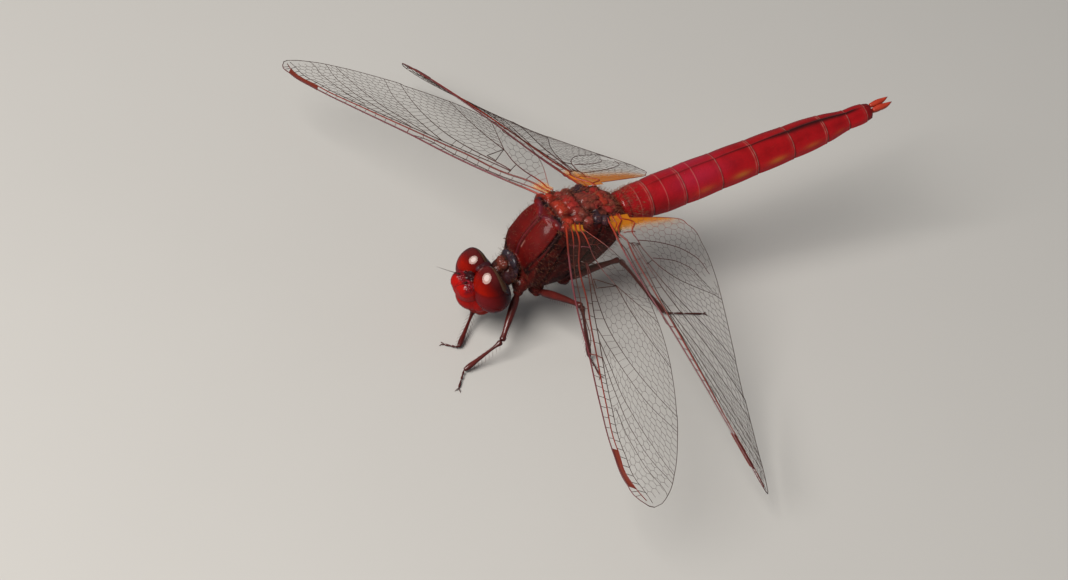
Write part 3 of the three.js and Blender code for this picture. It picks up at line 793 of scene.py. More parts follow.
# Seams of the flank, and ridges of the back, on the left side
HUMERAL_SUTURE = [(1.67, -5.18, -1.58), (1.99, -4.92, -0.65), (2.2, -4.44, 0.15),
                  (2.3, -3.8, 1.02), (2.2, -3.09, 1.86), (1.95, -2.35, 2.5)]
MIDDLE_SUTURE = [(2.3, -4.0, -3.4), (2.6, -3.2, -1.4), (2.6, -2.3, 0.4), (2.4, -1.0, 2.1)]
REAR_SUTURE = [(2.3, -2.0, -4.0), (2.65, -0.6, -2.2), (2.65, 0.6, -0.4), (2.4, 1.7, 1.7)]
LOWER_SUTURE = [(1.6, -4.6, -4.0), (2.2, -3.4, -4.1), (2.25, -1.6, -4.2), (2.2, 0.4, -3.6),
                (1.8, 2.6, -2.7)]
BACK_CREST = [(0, -3.45, 2.65), (0.75, -2.95, 2.95), (1.5, -2.65, 2.8), (2.1, -2.45, 2.5)]
FRONT_LOBE = [(0.55, -3.35, 2.78), (1.25, -3.2, 2.85), (1.95, -2.95, 2.6)]
# Hollows of the back: path, width and depth
HOLLOWS = [
    ([(0.92, -2.3, 2.8), (1.02, -1.6, 2.9), (1.05, -0.95, 2.95)], 0.24, 0.42),
    ([(1.24, 0.95, 2.85), (1.3, 1.2, 2.8)], 0.2, 0.3),
    ([(1.04, 2.0, 2.6), (1.08, 2.2, 2.5)], 0.2, 0.3),
    ([(1.7, 2.55, 2.1), (1.75, 2.7, 2.0)], 0.2, 0.25),
]


def plate_tones(places):
    """Tone of the nearest plate, and how close each point is to a crease between two plates."""
    weights = np.full(len(places), 1e-9)
    tones = np.full(len(places), 0.3e-9)
    nearest = np.full((2, len(places)), 9.0)
    one_side = np.stack([np.abs(places[:, 0]), places[:, 1], places[:, 2]], axis=1)
    for middle, sizes, _, tone in PLATES:
        distance = np.linalg.norm((one_side - middle) / np.array(sizes) * (1, 1, 0.5), axis=1)
        weight = np.exp(-6 * distance**2)
        weights += weight
        tones += weight * tone
        nearest = np.sort(np.vstack([nearest, distance]), axis=0)[:2]
    crease = hump(nearest[1] - nearest[0], 0.2) * ramp_between(nearest[0], 0.45, 0.8)
    return tones / weights, crease


def thorax_skin(voxel):
    """The skin of the thorax with its seams, ridges and plates, and its markings."""
    mesh = remeshed(thorax_form(), voxel, 3)
    places, normals = mesh_arrays(mesh)
    lift = np.zeros(len(places))
    dark = np.zeros(len(places))
    for suture, depth, width, shade in (
        (HUMERAL_SUTURE, 0.09, 0.1, 0.95), (MIDDLE_SUTURE, 0.08, 0.11, 0.7),
        (REAR_SUTURE, 0.09, 0.11, 0.85), (LOWER_SUTURE, 0.09, 0.13, 0.8),
    ):
        for path in both_sides(suture):
            distance = distance_to_path(places, path)
            lift -= depth * hump(distance, width) - 0.035 * hump(distance - 0.24, 0.12)
            dark = np.maximum(dark, shade * hump(distance, width * 1.5))
    x, y, z = places.T
    on_front = ramp_between(normals[:, 1], 0.15, -0.35) * ramp_between(y, -3.1, -3.4)
    upper = ramp_between(z, -1.3, -0.9)
    carina = hump(x, 0.07) * on_front * upper
    lift += 0.1 * carina - 0.05 * hump(np.abs(x) - 0.22, 0.12) * on_front * upper
    # The carina and the crests of the back carry a painted violet sheen.
    violet = 0.5 * carina
    for path in both_sides(BACK_CREST):
        distance = distance_to_path(places, path)
        lift += 0.16 * hump(distance, 0.12)
        violet = np.maximum(violet, 0.85 * hump(distance, 0.17))
    lobe = distance_to_pair(places, FRONT_LOBE)
    lift += 0.1 * hump(lobe, 0.26)
    trench = hump(y + 2.2, 0.28) * ramp_between(z, 2.1, 2.5) * ramp_between(np.abs(x), 1.9, 1.5)
    lift -= 0.3 * trench
    between = hump(y - 0.45, 0.22) * ramp_between(z, 2.2, 2.6) * ramp_between(np.abs(x), 1.8, 1.2)
    lift -= 0.16 * between

    tone, crease = plate_tones(places)
    back = ramp_between(z, 1.7, 2.2) * ramp_between(y, -2.9, -2.4) * ramp_between(y, 4.0, 3.6)
    neck = ramp_between(y, -5.3, -5.55)
    plated = np.maximum(back, neck)
    lift -= 0.035 * crease * plated
    wrinkle = np.sin(x * 9 + 1.5 * np.sin(y * 6)) * np.sin(y * 8 + 1.9 * np.sin(x * 7 + z * 5))
    crinkle = np.sin(x * 21 + 2 * np.sin(y * 13)) * np.sin(y * 19 + 2 * np.sin(x * 15 + z * 9))
    lift += (0.03 * wrinkle + 0.02 * crinkle) * back
    lift += 0.07 * wrinkle * neck * ramp_between(tone, 0.2, 0.3)
    # The hollows are painted dark as well as carved: painted shade.
    for hollow, width, depth in HOLLOWS:
        for path in both_sides(hollow):
            distance = distance_to_path(places, path)
            lift -= depth * hump(distance, width)
            dark = np.maximum(dark, hump(distance, width * 1.3))
    places = places + normals * lift[:, None]
    set_places(mesh, places)

    x, y, z = places.T
    humeral = distance_to_pair(places, HUMERAL_SUTURE)
    middle = distance_to_pair(places, MIDDLE_SUTURE)
    behind = ramp_between(y + 0.62 * (2.4 - z) + 2.35, -0.55, -0.3)
    # The trench, the groove between the plates and the creases are painted dark too: painted shade.
    dark = largest(
        dark, trench * 0.9, between * 0.6, 0.45 * crease * plated,
        0.6 * hump(np.abs(x) - 0.17, 0.07) * on_front * upper,
        0.92 * ramp_between(humeral, 0.62, 0.3) * behind, 0.7 * hump(middle, 0.3))
    # The last term makes the flank behind the humeral seam mottled and duller: painted shade.
    soft = largest(
        neck * ramp_between(z, -2.6, -3.2), ramp_between(z, -3.1, -3.9) * 0.9,
        ramp_between(y, 3.4, 4.1) * 0.5, 0.9 * behind * ramp_between(z, 2.2, 1.7))
    streak = distance_to_path(places, [(0.3, -5.04, 0.0), (0.36, -4.8, 0.6)])
    # The upper front is made brighter: painted light.
    painted_front_light = 0.25 * ramp_between(behind, 0.3, 0.0) * ramp_between(z, -1.2, 1.5)
    set_markings(
        mesh, dark=dark, soft=soft, pale=0.5 * hump(streak, 0.07), violet=violet, tone=tone,
        knobs=plated, bright=np.maximum(painted_front_light, hump(lobe, 0.3)))
    return mesh


def abdomen_rows():
    """Places along the abdomen, from 0 to 1, close together at the joints and ridges."""
    reach = ABDOMEN_RINGS[-1][0]
    near = [-0.5, -0.3, -0.18, -0.1, -0.05, -0.015, 0.015, 0.05, 0.1, 0.18, 0.3, 0.45]
    steps = set(np.linspace(0, reach, 90).round(3))
    for joint in ABDOMEN_JOINTS:
        steps |= {round(joint + gap, 3) for gap in near}
    for ridge in CROSS_RIDGES:
        steps |= {round(ridge + gap, 3) for gap in (-0.12, -0.06, -0.02, 0.02, 0.06, 0.12)}
    steps = sorted(step for step in steps if 0 <= step <= reach)
    return np.array(steps) / reach


def abdomen_skin():
    """The ten rings of the abdomen as one skin, with keels, joints and markings."""
    rows = abdomen_rows()
    reach = ABDOMEN_RINGS[-1][0]
    wide = smooth_curve([(at, w) for at, w, _ in ABDOMEN_RINGS])
    high = smooth_curve([(at, h) for at, _, h in ABDOMEN_RINGS])

    def rule(around, along):
        at = np.interp(along * (len(rows) - 1), np.arange(len(rows)), rows) * reach
        angle = (around - 0.5) * 2 * math.pi
        across, up = squared_round(angle, ABDOMEN_SQUARENESS)
        turn = np.abs(angle)
        swell = np.ones(len(at))
        step = np.zeros(len(at))
        for joint, following in zip([0, *ABDOMEN_JOINTS], [*ABDOMEN_JOINTS, reach]):
            inside = (at >= joint) & (at <= following)
            share = (at - joint) / (following - joint)
            swell = np.where(inside, 1 + 0.028 * np.sin(np.clip(share, 0, 1) * math.pi), swell)
        for joint in ABDOMEN_JOINTS:
            ahead = joint - at
            step += np.where(ahead >= 0, 0.035 * np.exp(-ahead / 0.16), -0.05 * np.exp(ahead / 0.2))
        for ridge in CROSS_RIDGES:
            step += 0.03 * hump(at - ridge, 0.045) * ramp_between(turn, 2.2, 1.9)
        keel = 0.1 * hump(turn, 0.07) * ramp_between(at, 1.5, 4)
        edge = 0.07 * hump(turn - 2.0, 0.1) * ramp_between(at, 2.5, 5)
        under = -0.14 * ramp_between(turn, 2.1, 2.5) + 0.06 * hump(turn - math.pi, 0.3)
        extra = step + keel + edge + under * ramp_between(at, 1.0, 3.0)
        close_tail = np.minimum(1, np.sqrt(np.clip((reach - at) / 0.25, 0, 1)) * 0.35 + 0.65)
        close_waist = np.minimum(1, np.sqrt(np.clip(at / 0.3, 0, 1)) * 0.5 + 0.5)
        x = across * (wide(at) * swell + extra) * close_tail * close_waist
        z = up * (high(at) * swell + extra) * close_tail * close_waist
        return np.stack([x, at - 0.25 * (at < 1e-6), z], axis=1)

    mesh = mesh_from(wrapped(96, len(rows) - 1, rule))
    set_markings(mesh, **abdomen_markings(mesh_arrays(mesh)[0]))
    return mesh


def abdomen_markings(places):
    """Pale rings, partly painted highlights, and dark lines at the joints, warm side spots, the
    dark line of the back, and a painted sheen.
    """
    x, at, z = places.T
    turn = np.abs(np.arctan2(x, z))
    gaps = np.array([at - joint for joint in ABDOMEN_JOINTS])
    joint_gap = np.min(np.abs(gaps), axis=0)
    ridge_gap = np.min([np.abs(at - ridge) for ridge in CROSS_RIDGES], axis=0)

    # The pale lines at the joints and on the cross ridges are partly painted highlights on their
    # rims, kept to the upper side.
    upper = ramp_between(turn, 2.3, 1.8)
    uneven = 0.75 + 0.25 * np.sin(turn * 11 + 2 * at)
    pale = 0.65 * hump(np.min(np.abs(gaps + 0.03), axis=0), 0.04) * uneven
    pale = np.maximum(pale, 0.4 * hump(np.min(np.abs(gaps + 0.24), axis=0), 0.035) * uneven)
    pale *= ramp_between(at, 2.0, 2.9)
    pale = np.maximum(pale * upper, 0.25 * hump(ridge_gap, 0.03) * upper)

    behind_joint = hump(np.min(np.abs(gaps - 0.06), axis=0), 0.05)
    line_width = 0.055 + 0.16 * ramp_between(at, 14, 19)
    line_shade = 0.45 + 0.5 * ramp_between(at, 5, 16)
    line_ends = ramp_between(at, 2.4, 4) * ramp_between(at, 25.3, 24.2)
    dark = largest(
        0.85 * behind_joint * ramp_between(turn, 0.9, 1.6), 0.35 * hump(joint_gap, 0.12),
        line_shade * hump(turn, line_width) * line_ends, 0.5 * ramp_between(at, 25.4, 25.7))

    warm = np.zeros(len(places))
    for joint, following, amount in zip(ABDOMEN_JOINTS[2:], ABDOMEN_JOINTS[3:], SIDE_SPOTS):
        share = (at - joint) / (following - joint)
        spot = hump((share - 0.52) / 0.2, 1) * hump((turn - 1.42) / 0.16, 1)
        warm = np.maximum(warm, amount * spot)
    flank = ramp_between(turn, 0.7, 1.6) * ramp_between(turn, 2.4, 2.1)
    return {
        "dark": dark, "pale": pale, "warm": warm,
        "soft": 0.15 * ramp_between(at, 1.9, 0.6) + 0.25 * ramp_between(turn, 2.1, 2.4),
        "bright": 0.85 * flank * ramp_between(at, 3, 8),
        # sheen is a painted magenta reflection on the fourth ring.
        "sheen": 0.28 * hump((at - 7.6) / 3.0, 1) * hump((turn - 0.6) / 0.6, 1),
    }


class DRAGONFLY_OT_body(bpy.types.Operator):
    """Make the skin of the thorax and the abdomen"""

    bl_idname = "dragonfly.body"
    bl_label = "Body"

    def execute(self, context):
        settings = context.scene.dragonfly_body
        shell = shell_material(
            "thorax_shell", settings.thorax_red, settings.thorax_deep, gloss=0.42, coat=0.22)
        finish_piece(
            "thorax_skin", thorax_skin(settings.skin_step / MM), BODY, shell,
            ["thorax", "prothorax", "neck"])
        red = shell_material(
            "abdomen_shell", settings.abdomen_red, settings.abdomen_deep, gloss=0.3, coat=0.75,
            relief=0.6)
        rings = [f"abdomen_s{number}" for number in range(1, 11)]
        finish_piece("abdomen_skin", abdomen_skin(), ABDOMEN, red, rings)
        return {"FINISHED"}


def cercus_mesh(side):
    """One cercus: swollen at its base, toothed below and drawn to an upturned point."""
    path = [(side * 0.28, TAIL_START, 0.22), (side * 0.3, 27.0, 0.24), (side * 0.33, 27.65, 0.25),
            (side * 0.34, 28.3, 0.44)]
    bm = limb(path, [(0, 0.18), (0.2, 0.25), (0.55, 0.27), (0.82, 0.15), (1, 0.01)], 14, 28)
    for share in (0.45, 0.52, 0.59, 0.66):
        y = TAIL_START + 2.05 * share
        add_ellipsoid(bm, (side * 0.32, y, 0.0), (0.035, 0.035, 0.06), columns=8, rows=6)
    return mesh_from(bm)


def darken_tip(mesh, amount, start, end):
    set_markings(mesh, dark=amount * ramp_between(mesh_arrays(mesh)[0][:, 1], start, end))


class DRAGONFLY_OT_tail(bpy.types.Operator):
    """Make the appendages at the end of the abdomen"""

    bl_idname = "dragonfly.tail"
    bl_label = "Tail"

    def execute(self, context):
        material = blotched_material(
            "tail_shell", (18.0, 8.0, 1.5), (0.55, 0.06, 0.02, 1), (0.36, 0.02, 0.012, 1),
            {"Roughness": 0.36}, bump=(0.3, 0.00003), dark=(0.02, 0.006, 0.005, 1))
        for name, side in (("left", 1), ("right", -1)):
            mesh = cercus_mesh(side)
            darken_tip(mesh, 0.8, 27.9, 28.35)
            finish_piece(
                f"cercus_{name}_shell", mesh, ABDOMEN, material, [f"cercus_{name}"])
        mesh = mesh_from(limb(
            [(0, TAIL_START, -0.2), (0, 27.1, -0.27), (0, 27.9, -0.22)],
            [(0, 0.2), (0.3, 0.24), (0.8, 0.16), (1, 0.02)], 16, 24, flat=0.7))
        darken_tip(mesh, 0.7, 27.4, 27.9)
        finish_piece("epiproct_shell", mesh, ABDOMEN, material, ["epiproct"])
        return {"FINISHED"}


# ------------------------------------------------------------------ head

EYE_X = 1.42
EYE_LEAN = 16
EYE_SIZES = (1.66, 1.78, 2.3)
EYE_WALL = 0.03
OCELLI = [((0, -1.8, 1.2), 0.11), ((0.64, -1.52, 1.2), 0.09), ((-0.64, -1.52, 1.2), 0.09)]


def eye_rear(z):
    """How much of its depth the eye keeps behind its middle, less towards the top."""
    return 0.92 - 0.36 * ramp_between(z, -1.2, 1.2)


def eye_mesh(side):
    """One compound eye: a leaning ellipsoid that meets its fellow on a flat line."""
    bm = bmesh.new()
    add_ellipsoid(bm, (side * EYE_X, 0, 0), EYE_SIZES, (0, -side * EYE_LEAN, 0), 112, 72)
    places = corners_of(bm)
    inwards = places[:, 0] * side
    soft_wall = EYE_WALL + 0.05 * np.log1p(np.exp((inwards - EYE_WALL) / 0.05))
    places[:, 0] = np.where(inwards < 0.6, soft_wall, inwards) * side
    places[:, 1] *= np.where(places[:, 1] > 0, eye_rear(places[:, 2]), 1)
    move_corners(bm, places)
    bmesh.ops.remove_doubles(bm, verts=bm.verts, dist=1e-5)
    mesh = mesh_from(bm)
    set_markings(mesh, **eye_markings(mesh_arrays(mesh)[0]))
    return mesh


def eye_markings(places):
    """Where the eye's upper and lower colours meet, and where its crown and rear edge lie."""
    _, y, z = places.T
    edge = 0.62 - 0.08 * y
    behind = y / np.where(y > 0, eye_rear(z), 1) + 0.62 * ramp_between(z, 0.1, 1.1)
    return {
        "above": ramp_between(z, edge - 0.24, edge + 0.24),
        "forward": ramp_between(y + 0.25 * z, 1.15, -1.5),
        "crown": 0.8 * ramp_between(z + 0.5 * y, 1.0, 2.2),
        "rear": ramp_between(behind, 1.06, 1.16),
        "border": np.maximum(hump(z - edge, 0.1), hump(behind - 1.02, 0.09)),
    }


def eye_material(settings):
    """Deep red above and maroon below, both darker towards the rear in painted shade, with a
    dull band at the rear edge, a painted blue grey reflection on it below, and a glassy coat.
    """
    material, tree, shader = new_material("compound_eye")
    above = marking(tree, "above")
    grain = use_grain(tree, 3.0, 7.0, 0.7)
    # Both ramps darken the eye towards its rear: painted shade.
    top = color_ramp(tree, marking(tree, "forward"), [
        (0.0, (0.018, 0.002, 0.003, 1)), (0.35, (0.06, 0.003, 0.003, 1)),
        (0.65, settings.eye_top), (1.0, settings.eye_front)])
    top = mix_color(tree, marking(tree, "crown"), top, settings.eye_crown)
    low = color_ramp(tree, marking(tree, "forward"), [
        (0.0, (0.02, 0.004, 0.006, 1)), (0.6, settings.eye_below), (1.0, (0.16, 0.01, 0.012, 1))])
    color = mix_color(tree, above, low, top)
    cloud = color_ramp(tree, grain["Blotch"], [(0.4, BLACK), (0.7, WHITE)])
    deep = mix_color(tree, 0.3, color, (0.02, 0.002, 0.002, 1))
    color = mix_color(tree, cloud, color, deep)
    below = math_node(tree, "SUBTRACT", 0.7, above)
    low_flecks = math_node(tree, "MULTIPLY", grain["Fleck"], below)
    color = mix_color(tree, low_flecks, color, (0.02, 0.002, 0.004, 1))
    border = math_node(tree, "MULTIPLY", marking(tree, "border"), 0.35)
    color = mix_color(tree, border, color, (0.02, 0.001, 0.002, 1))
    speckle = color_ramp(tree, use_grain(tree, 3.0, 9.0, 5.0)["Fleck"], [
        (0.0, WHITE), (1.0, (0.25, 0.2, 0.2, 1))])
    # Below, the rear edge is a painted blue grey reflection.
    band = mix_color(tree, above, settings.eye_rim_reflection, settings.eye_band)
    band = mix_color(tree, 1.0, band, speckle, "MULTIPLY")
    color = mix_color(tree, marking(tree, "rear"), color, band)
    place = add_node(tree, "ShaderNodeTexCoord").outputs["Object"]
    facets = add_node(
        tree, "ShaderNodeTexVoronoi", {"Vector": place, "Scale": 26000.0, "Randomness": 0.25},
        feature="F1").outputs["Distance"]
    set_surface(tree, shader, color, {
        "Roughness": 0.4, "Specular IOR Level": 0.0, "Coat Weight": 1.0, "Coat IOR": 1.38,
        "Coat Roughness": 0.03})
    add_bump(tree, shader, facets, 0.12, 0.000006)
    return material


def face_form():
    """Frons, clypeus, lips and jaws as lobes that run into one another."""
    bm = bmesh.new()
    for side in (1, -1):
        add_ellipsoid(bm, (side * 0.6, -1.9, 0.32), (0.85, 0.98, 0.92), (-14, 0, 0))
        add_ellipsoid(bm, (side * 1.2, -1.0, -1.6), (0.45, 0.85, 1.1), (0, side * 8, 0))
        add_ellipsoid(bm, (side * 0.6, -0.55, -3.0), (0.7, 0.95, 0.5), (8, 0, 0))
        add_ellipsoid(bm, (side * 0.56, -2.18, 0.56), (0.62, 0.5, 0.5))
    add_ellipsoid(bm, (0, -1.98, 0.33), (0.9, 0.93, 0.86), (-14, 0, 0))
    add_ellipsoid(bm, (0, -1.85, -0.1), (1.42, 1.06, 1.0))
    add_ellipsoid(bm, (0, -1.09, -1.12), (1.5, 1.68, 1.74))
    add_ellipsoid(bm, (0, -0.8, -2.7), (1.2, 1.15, 0.75))
    return bm


def face_skin():
    """The skin of the face with its grooves, and the rough dark patch on top of the frons."""
    mesh = remeshed(face_form(), 0.045, 46)
    places, normals = mesh_arrays(mesh)
    x, y, z = places.T
    front = ramp_between(normals[:, 1], 0.2, -0.3)
    lift = -0.05 * hump(x, 0.2) * ramp_between(z, -0.7, 0.1)
    shade = 0.3 * hump(x, 0.09) * ramp_between(z, 0.0, 0.6)
    seam = z + 0.8 - 0.1 * x**2
    lift -= 0.014 * hump(seam, 0.12) * front
    shade = np.maximum(shade, 0.15 * hump(seam, 0.07) * front)
    lips = hump(z + 2.8 - 0.1 * x**2, 0.08) * ramp_between(y, -0.8, -1.3)
    lift -= 0.08 * lips
    top = ramp_between(y - 0.55 * (z - 0.6), -2.74, -2.5) * ramp_between(z, 0.45, 0.85)
    crumbs = np.sin(x * 24) * np.sin(y * 22 + 2) * np.sin(z * 20)
    lift += 0.03 * crumbs * top
    places = places + normals * lift[:, None]
    set_places(mesh, places)

    x, _, z = places.T
    below = 0.75 * ramp_between(z + 0.5 * np.abs(x), -1.9, -3.0)
    dark = largest(shade, 0.6 * lips, 0.92 * top * (0.75 + 0.25 * crumbs), below)
    set_markings(mesh, dark=dark, warm=0.2 * ramp_between(z, -2.3, -2.8))
    return mesh


def face_material(settings):
    """Bright red shell, with fine glitter where the frons is dark: its pink flecks are painted
    glints.
    """
    material, tree, shader = new_material("face_shell")
    grain = use_grain(tree, 9.0, 6.0, 1.2)
    color = mix_color(tree, grain["Blotch"], settings.face_red, times(settings.face_red, 0.55))
    color = mix_color(tree, marking(tree, "warm"), color, (0.5, 0.12, 0.04, 1))
    # The pink flecks of the glitter are painted glints.
    glitter = color_ramp(tree, use_grain(tree, 9.0, 6.0, 7.0)["Blotch"], [
        (0.45, (0.012, 0.003, 0.005, 1)), (0.57, (0.06, 0.007, 0.016, 1)),
        (0.68, (0.34, 0.04, 0.08, 1))])
    color = mix_color(tree, marking(tree, "dark"), color, glitter)
    set_surface(tree, shader, color, {
        "Roughness": 0.32, "Specular IOR Level": 0.05, "Coat Weight": 0.8, "Coat IOR": 1.4,
        "Coat Roughness": 0.1})
    add_bump(tree, shader, grain["Relief"], 0.35, 0.00004)
    return material


def skull_skin():
    """The back of the head with its rim round the eyes, and the small triangle above."""
    bm = bmesh.new()
    add_ellipsoid(bm, (0, 0.5, -0.6), (2.5, 0.75, 1.95), columns=48, rows=32)
    for side in (1, -1):
        add_ellipsoid(bm, (side * 1.4, 0.35, 0.25), (1.1, 0.6, 1.45), (0, -side * 14, 0))
        add_ellipsoid(bm, (side * 1.42, 0.65, -1.6), (0.85, 0.7, 0.72))
    add_ellipsoid(bm, (0, 0.1, 1.42), (0.36, 0.55, 0.46))
    add_ellipsoid(bm, (0, -0.3, 1.57), (0.2, 0.42, 0.28))
    mesh = remeshed(bm, 0.07, 2)
    places, normals = mesh_arrays(mesh)
    x, y, z = places.T
    outwards = np.hypot(x / 2.5, (z + 0.4) / 2.1)
    rim = hump(outwards - 0.93, 0.07)
    hollow = ramp_between(outwards, 0.75, 0.3) * ramp_between(y, 0.6, 0.9)
    places = places + normals * (0.05 * rim - 0.22 * hollow)[:, None]
    set_places(mesh, places)

    x, y, z = places.T
    patches = hump(np.abs(x) - 1.9, 0.35) * (hump(z - 0.9, 0.3) + hump(z + 0.9, 0.3))
    # violet on the top of the head is a painted sheen.
    set_markings(
        mesh, dark=0.7 - 0.5 * rim, soft=0.4 * ramp_between(y, 0.4, 0.9), warm=0.4 * patches,
        violet=0.6 * ramp_between(z, 1.2, 1.5))
    return mesh


def vertex_skin():
    """The knob between feelers and eyes, with a swelling under each simple eye."""
    bm = bmesh.new()
    add_ellipsoid(bm, (0, -1.3, 1.12), (0.5, 0.42, 0.4))
    for side in (1, -1):
        add_ellipsoid(bm, (side * 0.18, -1.32, 1.38), (0.18, 0.2, 0.16))
        add_ellipsoid(bm, (side * 0.52, -1.45, 1.12), (0.22, 0.22, 0.18))
    add_ellipsoid(bm, (0, -1.66, 1.14), (0.24, 0.22, 0.17))
    mesh = remeshed(bm, 0.035, 8)
    set_markings(mesh, dark=np.full(len(mesh.vertices), 0.78))
    return mesh


def feeler_mesh(side):
    """One feeler: two short thick joints and a fine bristle that curves up."""
    root = np.array((side * 0.52, -1.95, 1.28))
    run = unit(np.array((side * 0.35, -0.85, 0.55)))
    curl = np.array((side * 0.1, 0.0, 0.16))
    bm = bmesh.new()
    for path, radii, sides, rows in (
        ([root, root + run * 0.2, root + run * 0.34], [(0, 0.06), (0.5, 0.07), (1, 0.05)], 12, 10),
        ([root + run * 0.3, root + run * 0.42, root + run * 0.56],
         [(0, 0.04), (0.5, 0.05), (1, 0.032)], 12, 10),
        ([root + run * 0.5, root + run * 1.2 + curl * 0.3, root + run * 2.3 + curl],
         [(0, 0.03), (0.3, 0.022), (1, 0.008)], 8, 26),
    ):
        add_bmesh(bm, limb(path, radii, sides, rows))
    return mesh_from(bm)


class DRAGONFLY_OT_head(bpy.types.Operator):
    """Make the eyes, the face, the back of the head and the feelers"""

    bl_idname = "dragonfly.head"
    bl_label = "Head"

    def execute(self, context):
        settings = context.scene.dragonfly_head
        self.make_eyes(settings)
        finish_piece(
            "face_skin", face_skin(), HEAD, face_material(settings),
            ["frons", "clypeus", "mouthparts"])
        self.make_back()
        self.make_feelers(settings)
        return {"FINISHED"}

    def make_eyes(self, settings):
        """The two eyes, which the catch light finds in the collection that the stage made."""
        glass = eye_material(settings)
        for name, side in (("left", 1), ("right", -1)):
            lens = finish_piece(
                f"eye_{name}_lens", eye_mesh(side), HEAD, glass, [f"eye_{name}"])
            bpy.data.collections[CATCH_COLLECTION].objects.link(lens)

    def make_back(self):
        """The back of the head, and the vertex with its three simple eyes."""
        skull = shell_material(
            "skull_shell", (0.1, 0.03, 0.035, 1), (0.05, 0.02, 0.028, 1), gloss=0.3)
        finish_piece("skull_skin", skull_skin(), HEAD, skull, ["head_capsule"])
        violet = shell_material(
            "vertex_shell", (0.12, 0.008, 0.016, 1), (0.02, 0.003, 0.006, 1), gloss=0.2, coat=0.6,
            relief=0.9)
        finish_piece("vertex_skin", vertex_skin(), HEAD, violet, ["vertex"])
        ocellus = blotched_material(
            "ocellus", (20.0, 12.0, 6.0), (0.2, 0.05, 0.03, 1), (0.08, 0.015, 0.015, 1),
            {"Roughness": 0.08})
        bm = bmesh.new()
        for middle, size in OCELLI:
            add_ellipsoid(bm, middle, (size, size, size), columns=20, rows=14)
        finish_piece("ocelli", mesh_from(bm), HEAD, ocellus)

    def make_feelers(self, settings):
        material = blotched_material(
            "feeler_shell", (20.0, 10.0, 4.0), settings.feeler, times(settings.feeler, 2.4),
            {"Roughness": 0.4})
        for name, side in (("left", 1), ("right", -1)):
            finish_piece(
                f"antenna_{name}_bristle", feeler_mesh(side), HEAD, material,
                [f"antenna_{name}"])


# ------------------------------------------------------------------ wings


class WingShape:
    """Where a point of the flat wing plan comes to lie on the twisted wing.

    s runs along the span from the hinge, and share runs from 0 at the leading edge to 1 at
    the trailing edge.
    """

    def __init__(self, plan, side, sweep, droop, root, tip, lift, forwards):
        self.plan, self.side, self.root, self.tip = plan, side, root, tip
        self.lift, self.forwards = lift, forwards
        sweep, droop = math.radians(sweep), math.radians(droop)
        self.outwards = np.array((
            math.cos(sweep) * math.cos(droop), -math.sin(sweep) * math.cos(droop),
            -math.sin(droop)))
        back = np.array((0.0, 1.0, 0.0))
        self.backwards = unit(back - self.outwards * (back @ self.outwards))
        self.upwards = np.cross(self.outwards, self.backwards)
        self.leading = smooth_curve(plan["leading"])
        self.trailing = smooth_curve(plan["trailing"])
        self.span = plan["leading"][-1][0]
        self.veins = {name: smooth_curve(points) for name, points in plan["veins"].items()}
        self.veins["costa"] = lambda s: np.zeros_like(np.asarray(s, float))
        self.veins["margin"] = lambda s: np.ones_like(np.asarray(s, float))

    def chord(self, s, share):
        """Distance behind the hinge line at a share of the wing's width."""
        return self.leading(s) + share * (self.trailing(s) - self.leading(s))

    def fold(self, s, share):
        """Height of the pleats that stiffen the wing: ridges and valleys on the main veins."""
        knots = [
            (np.zeros_like(s), 0.05), (np.maximum(self.veins["subcosta"](s), 0.002), -0.1),
            (self.veins["radius"](s), 0.1), (self.veins["sector"](s), -0.04),
            (np.maximum(self.veins["media"](s), self.veins["sector"](s) + 0.02), 0.06),
            (np.maximum(self.veins["media_2"](s), self.veins["media"](s) + 0.05), -0.04),
        ]
        height = np.zeros_like(s)
        for (low, first), (high, second) in zip(knots, knots[1:]):
            inside = (share >= low) & (share <= high)
            part = (share - low) / np.maximum(high - low, 1e-6)
            height = np.where(inside, first + (second - first) * part, height)
        last, depth = knots[-1]
        behind = depth * (1 - (share - last) / np.maximum(1.001 - last, 1e-3))
        height = np.where(share > last, behind, height)
        return height * ramp_between(s, 0.2, 1.5) * ramp_between(s, self.span, self.span - 3)

    def place(self, s, chord, height):
        """Points in the body's frame, for arrays of span, chord and height."""
        share = np.clip(s / self.span, 0, 1)
        twist = np.radians(self.root + (self.tip - self.root) * share)
        bent = share**2
        back = chord * np.cos(twist) + height * np.sin(twist) - self.forwards * bent
        up = height * np.cos(twist) - chord * np.sin(twist) + self.lift * bent
        points = (
            np.array(self.plan["hinge"]) + self.outwards * s[:, None]
            + self.backwards * back[:, None] + self.upwards * up[:, None]
        )
        points[:, 0] *= self.side
        return points

    def on_wing(self, s, share, height=0.0):
        s, share = np.asarray(s, float), np.asarray(share, float)
        return self.place(s, self.chord(s, share), self.fold(s, share) + height)

    def along_vein(self, name, start, end, shares):
        """Span and width share at even steps of length along a stretch of a vein."""
        s = np.linspace(start, end, 60)
        share = self.veins[name](s)
        chord = self.chord(s, share)
        reach = np.concatenate([[0], np.cumsum(np.hypot(np.diff(s), np.diff(chord)))])
        s = np.interp(shares * reach[-1], reach, s)
        return s, self.veins[name](s)


